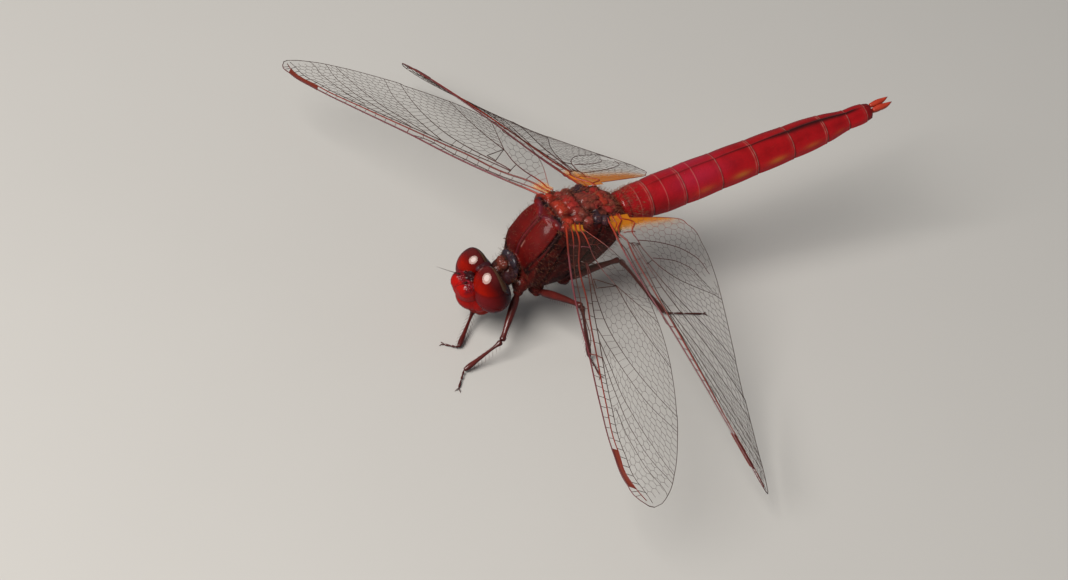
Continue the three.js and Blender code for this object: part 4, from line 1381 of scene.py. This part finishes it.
def field_lines(wing, field):
    """Cross veins and cell walls of one field, each as span and width share lists."""
    upper, u_start, u_end, lower, l_start, l_end, length, width = field
    fine = np.linspace(0, 1, 30)
    upper_run = np.stack(wing.along_vein(upper, u_start, u_end, fine))
    lower_run = np.stack(wing.along_vein(lower, l_start, l_end, fine))
    chord_up = wing.chord(*upper_run)
    chord_low = wing.chord(*lower_run)
    gap = np.hypot(upper_run[0] - lower_run[0], chord_up - chord_low)
    middle = (np.stack([upper_run[0], chord_up]) + np.stack([lower_run[0], chord_low])) / 2
    reach = np.sum(np.hypot(*np.diff(middle, axis=1)))
    count = max(2, int(round(reach / length)))
    shares = np.linspace(0, 1, count + 1)
    ups = np.stack(wing.along_vein(upper, u_start, u_end, shares))
    lows = np.stack(wing.along_vein(lower, l_start, l_end, shares))
    gaps = np.interp(shares, fine, gap)

    def point(along, across):
        k = min(int(along), count - 1)
        t = along - k
        top = ups[:, k] * (1 - t) + ups[:, k + 1] * t
        low = lows[:, k] * (1 - t) + lows[:, k + 1] * t
        chord_top, chord_bottom = wing.chord(*top), wing.chord(*low)
        s = top[0] * (1 - across) + low[0] * across
        chord = chord_top * (1 - across) + chord_bottom * across
        lead, trail = wing.leading(s), wing.trailing(s)
        return float(s), float(np.clip((chord - lead) / max(trail - lead, 0.01), 0, 1))

    walls = []
    for k in range(count):
        across = (gaps[k] + gaps[k + 1]) / 2
        rows = max(1, int(round(across / width))) if width else 1
        if rows == 1:
            walls.append([])
        elif k % 2:
            walls.append([(i + 0.5) / rows for i in range(rows)])
        else:
            walls.append([i / rows for i in range(1, rows)])
    lines = []
    for k in range(1, count):
        joints = [(across, -CELL_ZIGZAG) for across in walls[k - 1]]
        joints += [(across, CELL_ZIGZAG) for across in walls[k]]
        joints = [(0.0, 0.0), *sorted(joints), (1.0, 0.0)]
        lines.append([point(k + shift, across) for across, shift in joints])
    for k, separators in enumerate(walls):
        for across in separators:
            start = k + (CELL_ZIGZAG if k else 0)
            end = k + 1 - (CELL_ZIGZAG if k + 1 < count else 0)
            lines.append([point(start, across), point(end, across)])
    return lines


def vein_redness(name, s, wing):
    """How red a main vein is along its length: the radius most, the others at their roots."""
    nodus = wing.plan["nodus"]
    if name == "radius":
        return np.interp(s, [2, nodus, nodus + 1, wing.span], [0.7, 0.7, 0.9, 0.9])
    if name == "subcosta":
        return 0.3
    return 0.35 * ramp_between(s, 10, 5)


def vein_curves(wing, net_radius):
    """Every vein as (points, radii, redness): outline, main veins, bars and cell walls."""
    span, nodus = wing.span, wing.plan["nodus"]
    found = []

    def keep(s, share, radii, redness):
        base = ramp_between(s, 3.2, 1.2)
        found.append((wing.on_wing(s, share), np.broadcast_to(radii, len(s)),
                      np.maximum(np.broadcast_to(redness, len(s)), base)))

    s = np.linspace(VEIN_ROOT, span, 70)
    radii = np.interp(s, [0, 4, nodus, span], [0.095, 0.085, 0.07, 0.04])
    keep(s, np.zeros_like(s), radii, np.interp(s, [0, 2, 4, span], [1, 0.8, 0.5, 0.45]))
    keep(np.full(8, span), np.linspace(0, 1, 8), 0.035, 0.2)
    first = wing.plan["trailing"][0][0]
    s = first + (span - first) * np.linspace(0, 1, 90) ** 1.6
    keep(s, np.ones_like(s), 0.028, 0.0)
    for name, points in wing.plan["veins"].items():
        start, end = points[0][0], points[-1][0]
        s = np.linspace(start or VEIN_ROOT, end, 40)
        radii = np.interp(s, [start, end], VEIN_RADII[name])
        keep(s, wing.veins[name](s), radii, vein_redness(name, s, wing))
    for start, end in wing.plan["bars"]:
        s = np.linspace(start[0], end[0], 5)
        keep(s, np.linspace(start[1], end[1], 5), 0.04, 0.85 if start[0] == nodus else 0.0)
    for field in wing.plan["fields"]:
        radius = net_radius * (1.0 if field[7] else 1.7)
        redness = 0.32 if field[0] in ("costa", "subcosta") else 0.0
        for line in field_lines(wing, field):
            s, share = np.array(line).T
            keep(s, share, radius, redness)
    return found


def tubes_mesh(curves):
    """Round tubes along the given curves, as one mesh in millimetres, with their redness."""
    data = bpy.data.curves.new("veins", "CURVE")
    data.dimensions = "3D"
    data.bevel_depth = 1.0
    data.bevel_resolution = 1
    for points, radii, _ in curves:
        spline = data.splines.new("POLY")
        spline.points.add(len(points) - 1)
        flat = np.ones((len(points), 4), np.float32)
        flat[:, :3] = points
        spline.points.foreach_set("co", flat.ravel())
        spline.points.foreach_set("radius", np.asarray(radii, np.float32))
    holder = bpy.data.objects.new("veins", data)
    bpy.context.scene.collection.objects.link(holder)
    depsgraph = bpy.context.evaluated_depsgraph_get()
    mesh = bpy.data.meshes.new_from_object(holder.evaluated_get(depsgraph))
    bpy.data.objects.remove(holder)
    bpy.data.curves.remove(data)
    redness = np.concatenate([tint for _, _, tint in curves])
    set_markings(mesh, redness=np.repeat(redness, len(mesh.vertices) // len(redness)))
    bm = bmesh.new()
    bm.from_mesh(mesh)
    bmesh.ops.holes_fill(bm, edges=[edge for edge in bm.edges if edge.is_boundary], sides=0)
    bm.to_mesh(mesh)
    bm.free()
    return mesh


def wing_sheet(columns, rows, rule, thickness):
    """A thin plate: rule(along, across) places it, with both running from 0 to 1."""
    bm = sheet(columns, rows)
    flat = corners_of(bm)
    move_corners(bm, rule(flat[:, 0], flat[:, 1]))
    bmesh.ops.recalc_face_normals(bm, faces=bm.faces)
    bmesh.ops.solidify(bm, geom=bm.faces[:], thickness=thickness)
    return mesh_from(bm)


def membrane_mesh(wing, reach):
    """The thin skin of the wing, pleated along its veins, with its amber patch."""

    def rule(along, across):
        s = along**1.25 * (wing.span - MEMBRANE_ROOT) + MEMBRANE_ROOT
        return wing.on_wing(s, across**1.3)

    mesh = wing_sheet(150, 56, rule, MEMBRANE_THICKNESS)
    s, behind = wing_coordinates(wing, mesh_arrays(mesh)[0])
    set_markings(mesh, amber=amber_patch(wing.plan, s / reach, behind))
    return mesh


def wing_coordinates(wing, places):
    """Span and distance behind the leading edge for points given in the body's frame."""
    local = places * np.array((wing.side, 1, 1)) - np.array(wing.plan["hinge"])
    s = local @ wing.outwards
    chord = np.hypot(local @ wing.backwards, local @ wing.upwards)
    return s, chord - wing.leading(s)


def amber_patch(plan, s, behind):
    """Strength of the amber: a small patch on a forewing, and a wide one on a hindwing."""
    if plan is FOREWING:
        width = ramp_between(behind, 2.0, 1.2) * ramp_between(behind, 0.2, 0.8)
        return 0.62 * ramp_between(s, 1.5, 0.3) * width
    front = ramp_between(s, 2.5, 0.9) * ramp_between(behind, 3.6, 1.8)
    inner = ramp_between(s, 1.9, 0.8) * ramp_between(behind, 9.3, 6.0)
    wash = 0.25 * ramp_between(s, 3.0, 1.0) * ramp_between(behind, 9.3, 7.0)
    return largest(front, inner, wash)


def wing_spot_mesh(wing):
    """The thick coloured cell near the tip."""
    start, end = wing.plan["spot"]

    def rule(along, across):
        s = start + (end - start) * along + 0.25 * (across - 0.5)
        share = wing.veins["radius"](s) * (0.06 + 0.88 * across)
        return wing.on_wing(s, share, SPOT_THICKNESS / 2)

    return wing_sheet(40, 8, rule, SPOT_THICKNESS)


def membrane_material(settings):
    """Clear smoky skin that shows a little more at its edges, and mottled amber near the root."""
    material, tree, shader = new_material("wing_membrane")
    grain = use_grain(tree, 2.2, 1.4, 0.35)
    smoke = mix_color(tree, grain["Blotch"], settings.membrane, (0.2, 0.16, 0.12, 1))
    mottling = math_node(tree, "ADD", use_grain(tree, 9.0, 6.0, 2.4)["Blotch"], 0.45)
    amber = math_node(tree, "MULTIPLY", marking(tree, "amber"), mottling, clamp=True)
    deep = [c * f for c, f in zip(settings.amber[:3], (0.8, 0.62, 0.6))]
    tint = mix_color(tree, grain["Blotch"], settings.amber, (*deep, 1))
    tint = mix_color(tree, amber, (0.8, 0.36, 0.03, 1), tint)
    inside_patch = color_ramp(tree, amber, [(0, BLACK), (0.25, WHITE)])
    color = mix_color(tree, inside_patch, smoke, tint)
    set_surface(tree, shader, color, {
        "Roughness": 0.2, "Coat Weight": 0.15, "Coat Roughness": 0.08})
    edge = add_node(tree, "ShaderNodeLayerWeight", {"Blend": 0.35}).outputs["Facing"]
    alpha = multiply_add(tree, edge, 0.05, settings.opacity)
    alpha = math_node(tree, "ADD", alpha, math_node(tree, "MULTIPLY", amber, 0.8), clamp=True)
    tree.links.new(alpha, shader.inputs["Alpha"])
    place = add_node(tree, "ShaderNodeTexCoord").outputs["Object"]
    cells = add_node(
        tree, "ShaderNodeTexVoronoi", {"Vector": place, "Scale": 1500.0}, feature="SMOOTH_F1"
    ).outputs["Distance"]
    add_bump(tree, shader, cells, 0.35, 0.00005)
    return material


def vein_material(settings):
    """Brown veins that turn red with the redness that each one carries."""
    material, tree, shader = new_material("wing_vein")
    grain = use_grain(tree, 10.0, 6.0, 1.5)
    color = color_ramp(tree, marking(tree, "redness"), [
        (0, settings.vein), (0.3, (0.09, 0.022, 0.012, 1)), (0.5, settings.vein_front),
        (0.7, (0.2, 0.026, 0.014, 1)), (0.9, (0.3, 0.03, 0.014, 1)), (1, settings.vein_red)])
    darker = mix_color(tree, 0.5, color, (0.02, 0.008, 0.008, 1))
    color = mix_color(tree, grain["Blotch"], color, darker)
    set_surface(tree, shader, color, {"Roughness": 0.35})
    add_bump(tree, shader, grain["Relief"], 0.3, 0.00002)
    return material


class DRAGONFLY_OT_wings(bpy.types.Operator):
    """Make the membrane, veins and spot of each wing"""

    bl_idname = "dragonfly.wings"
    bl_label = "Wings"

    def execute(self, context):
        settings = context.scene.dragonfly_wings
        membrane = membrane_material(settings)
        vein = vein_material(settings)
        spot = blotched_material(
            "wing_spot", (12.0, 9.0, 2.0), settings.spot, times(settings.spot, 0.6),
            {"Roughness": 0.45}, bump=(0.5, 0.00002))
        for name, side, plan, *pose, reach in WINGS:
            wing = WingShape(plan, side, *pose)
            finish_piece(
                f"{name}_membrane", membrane_mesh(wing, reach), BODY, membrane,
                [name])
            veins = tubes_mesh(vein_curves(wing, settings.net_radius / MM))
            finish_piece(f"{name}_veins", veins, BODY, vein)
            finish_piece(f"{name}_spot", wing_spot_mesh(wing), BODY, spot)
        return {"FINISHED"}


# ------------------------------------------------------------------ legs


# Share along each joint, and share of its own radius there
FEMUR_PROFILE = [
    (0, 0.7), (0.06, 0.9), (0.1, 0.7), (0.2, 1), (0.6, 0.95), (0.9, 0.72), (0.96, 0.85), (1, 0.6)]
TIBIA_PROFILE = [(0, 0.9), (0.05, 1.35), (0.12, 1), (0.6, 0.9), (0.95, 1), (1, 0.7)]
FOOT_PROFILE = [(0, 0.7), (0.3, 0.85), (0.85, 1.05), (1, 0.75)]
SPINE_PROFILE = [(0, 1), (0.6, 0.7), (1, 0.15)]
# The foot's radius as a share of the tibia's, and where its joints part
FOOT_RADIUS = 0.44
FOOT_JOINTS = [0.0, 0.24, 0.5, 1.0]
SPINE_FLOOR = 0.03


def scaled(profile, size):
    return [(share, value * size) for share, value in profile]


def sideways_of(run):
    """A level direction across a limb."""
    return unit(np.cross(run, (0, 0, 1.0)))


def leg_mesh(hip, knee, ankle, toe, femur, tibia):
    """One leg: femur, tibia and three foot joints, with spines and two claws."""
    hip, knee, ankle, toe = (np.array(point, float) for point in (hip, knee, ankle, toe))
    bm = bmesh.new()
    bend = np.array((0, 0, 0.12))
    path = [hip, hip * 0.66 + knee * 0.34 + bend, hip * 0.33 + knee * 0.67 + bend, knee]
    add_bmesh(bm, limb(path, scaled(FEMUR_PROFILE, femur), 18, 60))
    path = [knee, knee * 0.93 + ankle * 0.07, knee * 0.5 + ankle * 0.5, ankle]
    add_bmesh(bm, limb(path, scaled(TIBIA_PROFILE, tibia), 14, 50))
    run = toe - ankle
    for start, end in zip(FOOT_JOINTS, FOOT_JOINTS[1:]):
        first, last = ankle + run * start, ankle + run * end
        path = [first, (first + last) / 2, last]
        add_bmesh(bm, limb(path, scaled(FOOT_PROFILE, FOOT_RADIUS * tibia), 10, 12))
    run = unit(run)
    for side in (1, -1):
        across = sideways_of(run) * side
        middle = toe + run * 0.25 + across * 0.13 + np.array((0, 0, 0.05))
        tip = toe + run * 0.4 + across * 0.28 + np.array((0, 0, -0.085))
        add_bmesh(bm, limb([toe, middle, tip], [(0, 0.05), (0.5, 0.042), (1, 0.006)], 6, 8))
    add_spines(bm, knee, ankle, tibia, length=0.62, count=9, thickness=0.016, first=0.08)
    add_spines(bm, hip, knee, femur, length=0.34, count=12, thickness=0.014, first=0.35)
    return mesh_from(bm)


def add_spines(bm, start, end, radius, length, count, thickness, first):
    """Two rows of stiff spines along the lower side of a limb, leaning towards its end."""
    run = unit(end - start)
    across = sideways_of(run)
    down = np.cross(run, across)
    down *= -1 if down[2] > 0 else 1
    for side in (1, -1):
        outwards = unit(across * side * 0.75 + down * 0.65)
        for i in range(count):
            share = first + (0.94 - first) * (i + (0.25 if side > 0 else 0)) / count
            root = start + (end - start) * share + outwards * radius * 0.7
            reach = length * (0.75 + 0.35 * math.sin(share * math.pi))
            tip = root + outwards * reach * 0.8 + run * reach * 0.6
            middle = (root + tip) / 2 + outwards * reach * 0.08
            tip[2] = max(tip[2], SPINE_FLOOR)
            add_bmesh(bm, limb([root, middle, tip], scaled(SPINE_PROFILE, thickness), 5, 4))


class DRAGONFLY_OT_legs(bpy.types.Operator):
    """Make the six legs"""

    bl_idname = "dragonfly.legs"
    bl_label = "Legs"

    def execute(self, context):
        settings = context.scene.dragonfly_legs
        material = blotched_material(
            "leg_shell", (16.0, 7.0, 1.1), settings.leg_red, settings.leg_dark,
            {"Roughness": 0.3, "Coat Weight": 0.3}, bump=(0.3, 0.00003), dark=settings.leg_dark)
        for name, hip, knee, ankle, toe in LEGS:
            mesh = leg_mesh(hip, knee, ankle, toe, settings.femur / MM, settings.tibia / MM)
            places, normals = mesh_arrays(mesh)
            near_floor = 0.35 * ramp_between(places[:, 2], 0.8, 0.3)
            near_knee = 0.8 * hump(np.linalg.norm(places - np.array(knee), axis=1), 0.45)
            # The side of each leg that faces down is darkened: painted shade.
            painted_underside_shade = 0.6 * ramp_between(normals[:, 2], 0.1, -0.5)
            set_markings(mesh, dark=largest(near_floor, painted_underside_shade, near_knee))
            nodes = [f"{name}_{part}" for part in ("femur", "tibia", "tarsus")]
            finish_piece(f"leg_{name}", mesh, FLOOR, material, nodes)
        return {"FINISHED"}


# ------------------------------------------------------------------ hairs


BLADE_RADIUS = 0.02
HAIR_RADIUS = 0.005
FACE_HAIR_RADIUS = 0.004
# The hairs' unwrap in the OFBake map: size of a hair's patch, its margin, and the share that the
# skin fills
UNWRAP_PATCH = 0.003
UNWRAP_MARGIN = 0.004
UNWRAP_SHARE = 0.99


def hair_blades(count):
    """A small tuft: thin three-sided blades that lean apart, one unit long."""
    bm = bmesh.new()
    for i in range(count):
        new = bmesh.ops.create_cone(
            bm, cap_ends=True, segments=3, radius1=BLADE_RADIUS, radius2=0.2 * BLADE_RADIUS,
            depth=1)["verts"]
        bmesh.ops.translate(bm, vec=(0, 0, 0.5), verts=new)
        lean = Matrix.Rotation(math.radians(6 * (i > 0)), 4, "X")
        turn = Matrix.Rotation(2 * math.pi * i / max(1, count - 1), 4, "Z")
        bmesh.ops.transform(bm, matrix=turn @ lean, verts=new)
    bm.faces.ensure_lookup_table()
    places = corners_of(bm)
    faces = [[vert.index for vert in face.verts] for face in bm.faces]
    bm.free()
    return places, faces


def scatter_roots(mesh, count, keep, rng):
    """Points spread over a mesh, with their normals; keep gives each corner's share."""
    mesh.calc_loop_triangles()
    places, normals = mesh_arrays(mesh)
    triangles = np.zeros(len(mesh.loop_triangles) * 3, np.int32)
    mesh.loop_triangles.foreach_get("vertices", triangles)
    triangles = triangles.reshape(-1, 3)
    a, b, c = (places[triangles[:, i]] for i in range(3))
    area = np.linalg.norm(np.cross(b - a, c - a), axis=1) / 2
    weight = area * keep[triangles].mean(axis=1)
    chosen = rng.choice(len(triangles), size=count, p=weight / weight.sum())
    first, second = rng.random(count), rng.random(count)
    flip = first + second > 1
    first[flip], second[flip] = 1 - first[flip], 1 - second[flip]
    third = 1 - first - second
    corners = triangles[chosen]

    def mixed(values):
        return sum(values[corners[:, i]] * share[:, None]
                   for i, share in enumerate((first, second, third)))

    normal = mixed(normals)
    return mixed(places), normal / np.linalg.norm(normal, axis=1)[:, None]


def tufts_mesh(roots, directions, lengths, thickness, blades, unwrap, rng):
    """One mesh of tufts that stand on their roots, with OFBake laid out by unwrap(roots)."""
    places, faces = hair_blades(blades)
    count = len(roots)
    spin = rng.random(count) * 2 * math.pi
    helper = np.where(np.abs(directions[:, 2:3]) < 0.9, (0.0, 0.0, 1.0), (1.0, 0.0, 0.0))
    side = np.cross(directions, helper)
    side /= np.linalg.norm(side, axis=1)[:, None]
    other = np.cross(directions, side)
    first = side * np.cos(spin)[:, None] + other * np.sin(spin)[:, None]
    second = np.cross(directions, first)
    length = lengths[:, None, None]
    z = places[None, :, 2:3]
    across = places[None, :, 0:1] * first[:, None, :] + places[None, :, 1:2] * second[:, None, :]
    spread = np.where(z > 0.5, length, thickness / BLADE_RADIUS)
    points = roots[:, None, :] + directions[:, None, :] * z * length + across * spread
    size = len(places)
    offsets = (np.arange(count) * size)[:, None]
    mesh = bpy.data.meshes.new("tufts")
    loops = np.concatenate([np.array(face) for face in faces])
    sizes = np.array([len(face) for face in faces])
    all_loops = (offsets + loops[None, :]).ravel()
    all_sizes = np.tile(sizes, count)
    mesh.vertices.add(count * size)
    mesh.vertices.foreach_set("co", points.astype(np.float32).ravel())
    mesh.loops.add(len(all_loops))
    mesh.loops.foreach_set("vertex_index", all_loops.astype(np.int32))
    mesh.polygons.add(len(all_sizes))
    starts = np.concatenate([[0], np.cumsum(all_sizes)[:-1]])
    mesh.polygons.foreach_set("loop_start", starts.astype(np.int32))
    mesh.update(calc_edges=True)
    local = places[:, [0, 2]] - places[:, [0, 2]].min(axis=0)
    local = local / local.max(axis=0) * UNWRAP_PATCH
    uv = unwrap(roots)[:, None, :] + local[None, :, :]
    layer = mesh.uv_layers.new(name="OFBake")
    layer.data.foreach_set("uv", uv.reshape(-1, 2)[all_loops].astype(np.float32).ravel())
    return mesh


def unwrap_round(low, high, middle=0.0):
    """Unrolls a skin that lies round the Y axis: across is the angle, up is the length."""

    def unwrap(roots):
        around = np.arctan2(roots[:, 0], roots[:, 2] - middle) / (2 * math.pi) + 0.5
        along = (roots[:, 1] - low) / (high - low)
        return UNWRAP_MARGIN + np.stack([around, np.clip(along, 0, 1)], axis=1) * UNWRAP_SHARE

    return unwrap


def hair_material(name, first, second):
    return blotched_material(name, (6.0, 3.0, 1.4), first, second, {"Roughness": 0.45})


def skin_to_comb(name, place):
    """A copy of a finished skin, in millimetres and in the frame that it was made in."""
    skin = bpy.data.objects[name].data.copy()
    skin.transform(place.inverted() @ Matrix.Scale(1 / MM, 4))
    return skin


def grow_hairs(name, skin, place, material, count, keep, comb, radius, blades, unwrap, rng):
    """Hairs on a skin; comb(roots, normals) gives the direction and length of each."""
    roots, normals = scatter_roots(skin, count, keep, rng)
    directions, lengths = comb(roots, normals)
    directions /= np.linalg.norm(directions, axis=1)[:, None]
    mesh = tufts_mesh(roots, directions, lengths, radius, blades, unwrap, rng)
    finish_piece(name, mesh, place, material)


class DRAGONFLY_OT_hairs(bpy.types.Operator):
    """Make the fine hairs of the thorax, the waist and the face"""

    bl_idname = "dragonfly.hairs"
    bl_label = "Hairs"

    def execute(self, context):
        settings = context.scene.dragonfly_body
        rng = np.random.default_rng(SEED)
        golden = hair_material("golden_hair", settings.hair, (0.2, 0.09, 0.04, 1))
        dark = hair_material("dark_hair", (0.05, 0.02, 0.015, 1), (0.12, 0.05, 0.03, 1))
        self.thorax_hairs(settings.hair_length / MM, golden, dark, rng)
        self.abdomen_hairs(golden, rng)
        self.face_hairs(dark, rng)
        return {"FINISHED"}

    def thorax_hairs(self, length, golden, dark, rng):
        skin = skin_to_comb("thorax_skin", BODY)
        x, y, z = mesh_arrays(skin)[0].T
        front = ramp_between(y, -2.6, -3.1) * ramp_between(y, -6.6, -6.2)
        sides = ramp_between(np.abs(x), 1.8, 2.4)
        back = ramp_between(z, 1.8, 2.4) + 1.6 * ramp_between(y, 2.6, 3.6)
        neck = ramp_between(y, -5.4, -5.7)
        for name, count, keep, lean, long, material in (
            ("thorax_hairs_front", 1400, 0.005 + front, 0.5, 0.36, golden),
            ("thorax_hairs_sides", 800, 0.02 + sides, 0.7, 0.7, dark),
            ("thorax_hairs_back", 800, 0.02 + back, 0.9, 0.8, golden),
            ("prothorax_hairs", 260, 0.001 + neck, 1.0, 0.9, dark),
        ):

            def comb(_, normals):
                flow = np.array((0.0, 0.55, -0.25)) + rng.normal(0, 0.22, normals.shape)
                lengths = length * long * rng.uniform(0.6, 1.25, len(normals))
                return normals * lean + flow, lengths

            grow_hairs(name, skin, BODY, material, count, keep, comb, HAIR_RADIUS, 3,
                       unwrap_round(-7.8, 4.8, -0.8), rng)
        bpy.data.meshes.remove(skin)

    def abdomen_hairs(self, material, rng):
        skin = skin_to_comb("abdomen_skin", ABDOMEN)
        keep = 0.03 + ramp_between(mesh_arrays(skin)[0][:, 1], 3.2, 0.8) * 1.4

        def comb(roots, normals):
            base = ramp_between(roots[:, 1], 3.4, 0.8)
            directions = normals * (0.25 + 0.6 * base)[:, None] + (0.0, 0.9, 0.0)
            directions += rng.normal(0, 0.15, normals.shape)
            return directions, (0.1 + 0.26 * base) * rng.uniform(0.6, 1.3, len(roots))

        grow_hairs("abdomen_hairs", skin, ABDOMEN, material, 1200, keep, comb, HAIR_RADIUS, 3,
                   unwrap_round(-0.3, 26.5), rng)
        bpy.data.meshes.remove(skin)

    def face_hairs(self, material, rng):
        skin = skin_to_comb("face_skin", HEAD)
        keep = 0.01 + ramp_between(mesh_arrays(skin)[1][:, 1], 0.1, -0.5)

        def comb(_, normals):
            directions = normals + (0.0, -0.1, -0.35) + rng.normal(0, 0.15, normals.shape)
            return directions, rng.uniform(0.07, 0.17, len(normals))

        grow_hairs("face_hairs", skin, HEAD, material, 500, keep, comb, FACE_HAIR_RADIUS, 1,
                   unwrap_round(-3.2, 1.2, -1.2), rng)
        bpy.data.meshes.remove(skin)


# ------------------------------------------------------------------ stage


FLOOR_RADIUS = 1.5
LOOK_AT = Vector((0, 0, 0.006))
WARM_LIGHT = (1.0, 0.97, 0.93)
COOL_LIGHT = (0.85, 0.93, 1.0)
CATCH_LIGHT = (1.0, 0.8, 0.69)
AIR_LIGHT = (0.9, 0.95, 1.0, 1)
AIR_STRENGTH = 0.11
# The camera's place in millimetres, and the directions to its right and behind it
CAMERA_PLACE = (168.46, -159.9, 208.0)
CAMERA_RIGHT = (0.512, 0.8385, 0.184)
CAMERA_BACK = (0.553, -0.487, 0.675)


class DRAGONFLY_OT_stage(bpy.types.Operator):
    """Make the floor, the lights and the camera"""

    bl_idname = "dragonfly.stage"
    bl_label = "Stage"

    def execute(self, context):
        settings = context.scene.dragonfly_stage
        self.make_floor(settings)
        context.scene.view_settings.view_transform = "Standard"
        self.make_lamps(settings)
        world = bpy.data.worlds.new("studio")
        world.use_nodes = True
        background = world.node_tree.nodes["Background"]
        background.inputs[0].default_value = AIR_LIGHT
        background.inputs[1].default_value = AIR_STRENGTH
        context.scene.world = world
        self.make_camera(context, settings)
        return {"FINISHED"}

    def make_floor(self, settings):
        """A plain floor, kept out of reflections so that no horizon shows in the glossy shell."""
        material = blotched_material(
            "floor", (0.6, 0.4, 0.02), settings.floor, times(settings.floor, 0.94),
            {"Roughness": 0.7})
        bm = bmesh.new()
        bmesh.ops.create_circle(bm, cap_ends=True, segments=96, radius=FLOOR_RADIUS)
        mesh = mesh_from(bm)
        mesh.materials.append(material)
        floor = bpy.data.objects.new("floor", mesh)
        floor.visible_glossy = False
        bpy.context.scene.collection.objects.link(floor)

    def make_lamps(self, settings):
        """The key lamp, two fill lamps that nothing reflects, and the eyes' catch light."""
        fill = settings.fill_power
        self.add_lamp("key", 5, 47, 0.4, 0.25, settings.key_power, WARM_LIGHT)
        left = self.add_lamp("fill_left", 165, 14, 0.5, 0.4, fill, COOL_LIGHT)
        right = self.add_lamp("fill_right", -80, 40, 0.6, 0.9, 0.9 * fill, WARM_LIGHT)
        for lamp in (left, right):
            lamp.visible_glossy = False
        catch = self.add_lamp("catch_light", 5, 47, 0.39, 0.44, settings.catch_power, CATCH_LIGHT)
        catch.visible_diffuse = False
        catch.light_linking.receiver_collection = bpy.data.collections.new(CATCH_COLLECTION)

    def add_lamp(self, name, azimuth, height, distance, size, power, color):
        """A round lamp that faces the animal, placed by two angles in degrees and a distance."""
        turn, rise = math.radians(azimuth), math.radians(height)
        away = Vector((
            math.sin(turn) * math.cos(rise), -math.cos(turn) * math.cos(rise), math.sin(rise)))
        data = bpy.data.lights.new(name, "AREA")
        data.shape = "DISK"
        data.size = size
        data.energy = power
        data.color = color
        lamp = bpy.data.objects.new(name, data)
        facing = away.to_track_quat("Z", "Y").to_matrix().to_4x4()
        lamp.matrix_world = Matrix.Translation(LOOK_AT + away * distance) @ facing
        bpy.context.scene.collection.objects.link(lamp)
        return lamp

    def make_camera(self, context, settings):
        """A camera that looks down on the head and the left side, turned with the animal."""
        data = bpy.data.cameras.new("camera")
        data.sensor_width = 36
        data.lens = settings.lens
        data.clip_start = 0.01
        right = Vector(CAMERA_RIGHT).normalized()
        back = Vector(CAMERA_BACK).normalized()
        back = (back - right * back.dot(right)).normalized()
        up = back.cross(right)
        camera = bpy.data.objects.new("camera", data)
        turn = Matrix((right, up, back)).transposed().to_4x4()
        camera.matrix_world = Matrix.Translation(Vector(CAMERA_PLACE) * MM) @ turn
        context.scene.collection.objects.link(camera)
        context.scene.camera = camera


# ------------------------------------------------------------------ add-on

SETTINGS = {
    "dragonfly_body": BodySettings,
    "dragonfly_head": HeadSettings,
    "dragonfly_wings": WingSettings,
    "dragonfly_legs": LegSettings,
    "dragonfly_stage": StageSettings,
}
OPERATORS = (
    DRAGONFLY_OT_stage, DRAGONFLY_OT_body, DRAGONFLY_OT_tail, DRAGONFLY_OT_head,
    DRAGONFLY_OT_wings, DRAGONFLY_OT_legs, DRAGONFLY_OT_hairs,
)


class DRAGONFLY_PT_panel(bpy.types.Panel):
    """Settings and steps of the dragonfly"""

    bl_idname = "DRAGONFLY_PT_panel"
    bl_label = "Dragonfly"
    bl_space_type = "VIEW_3D"
    bl_region_type = "UI"
    bl_category = "Dragonfly"

    def draw(self, context):
        for operator in OPERATORS:
            self.layout.operator(operator.bl_idname)
        for name, group in SETTINGS.items():
            box = self.layout.box()
            for setting in group.__annotations__:
                box.prop(getattr(context.scene, name), setting)


def register():
    for group in SETTINGS.values():
        bpy.utils.register_class(group)
    for name, group in SETTINGS.items():
        setattr(bpy.types.Scene, name, bpy.props.PointerProperty(type=group))
    for operator in OPERATORS:
        bpy.utils.register_class(operator)
    bpy.utils.register_class(DRAGONFLY_PT_panel)


def unregister():
    bpy.utils.unregister_class(DRAGONFLY_PT_panel)
    for operator in reversed(OPERATORS):
        bpy.utils.unregister_class(operator)
    for name, group in SETTINGS.items():
        delattr(bpy.types.Scene, name)
        bpy.utils.unregister_class(group)


def main():
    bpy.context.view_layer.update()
    register()
    bpy.ops.dragonfly.stage()
    bpy.ops.dragonfly.body()
    bpy.ops.dragonfly.tail()
    bpy.ops.dragonfly.head()
    bpy.ops.dragonfly.wings()
    bpy.ops.dragonfly.legs()
    bpy.ops.dragonfly.hairs()


if __name__ == "__main__":
    main()
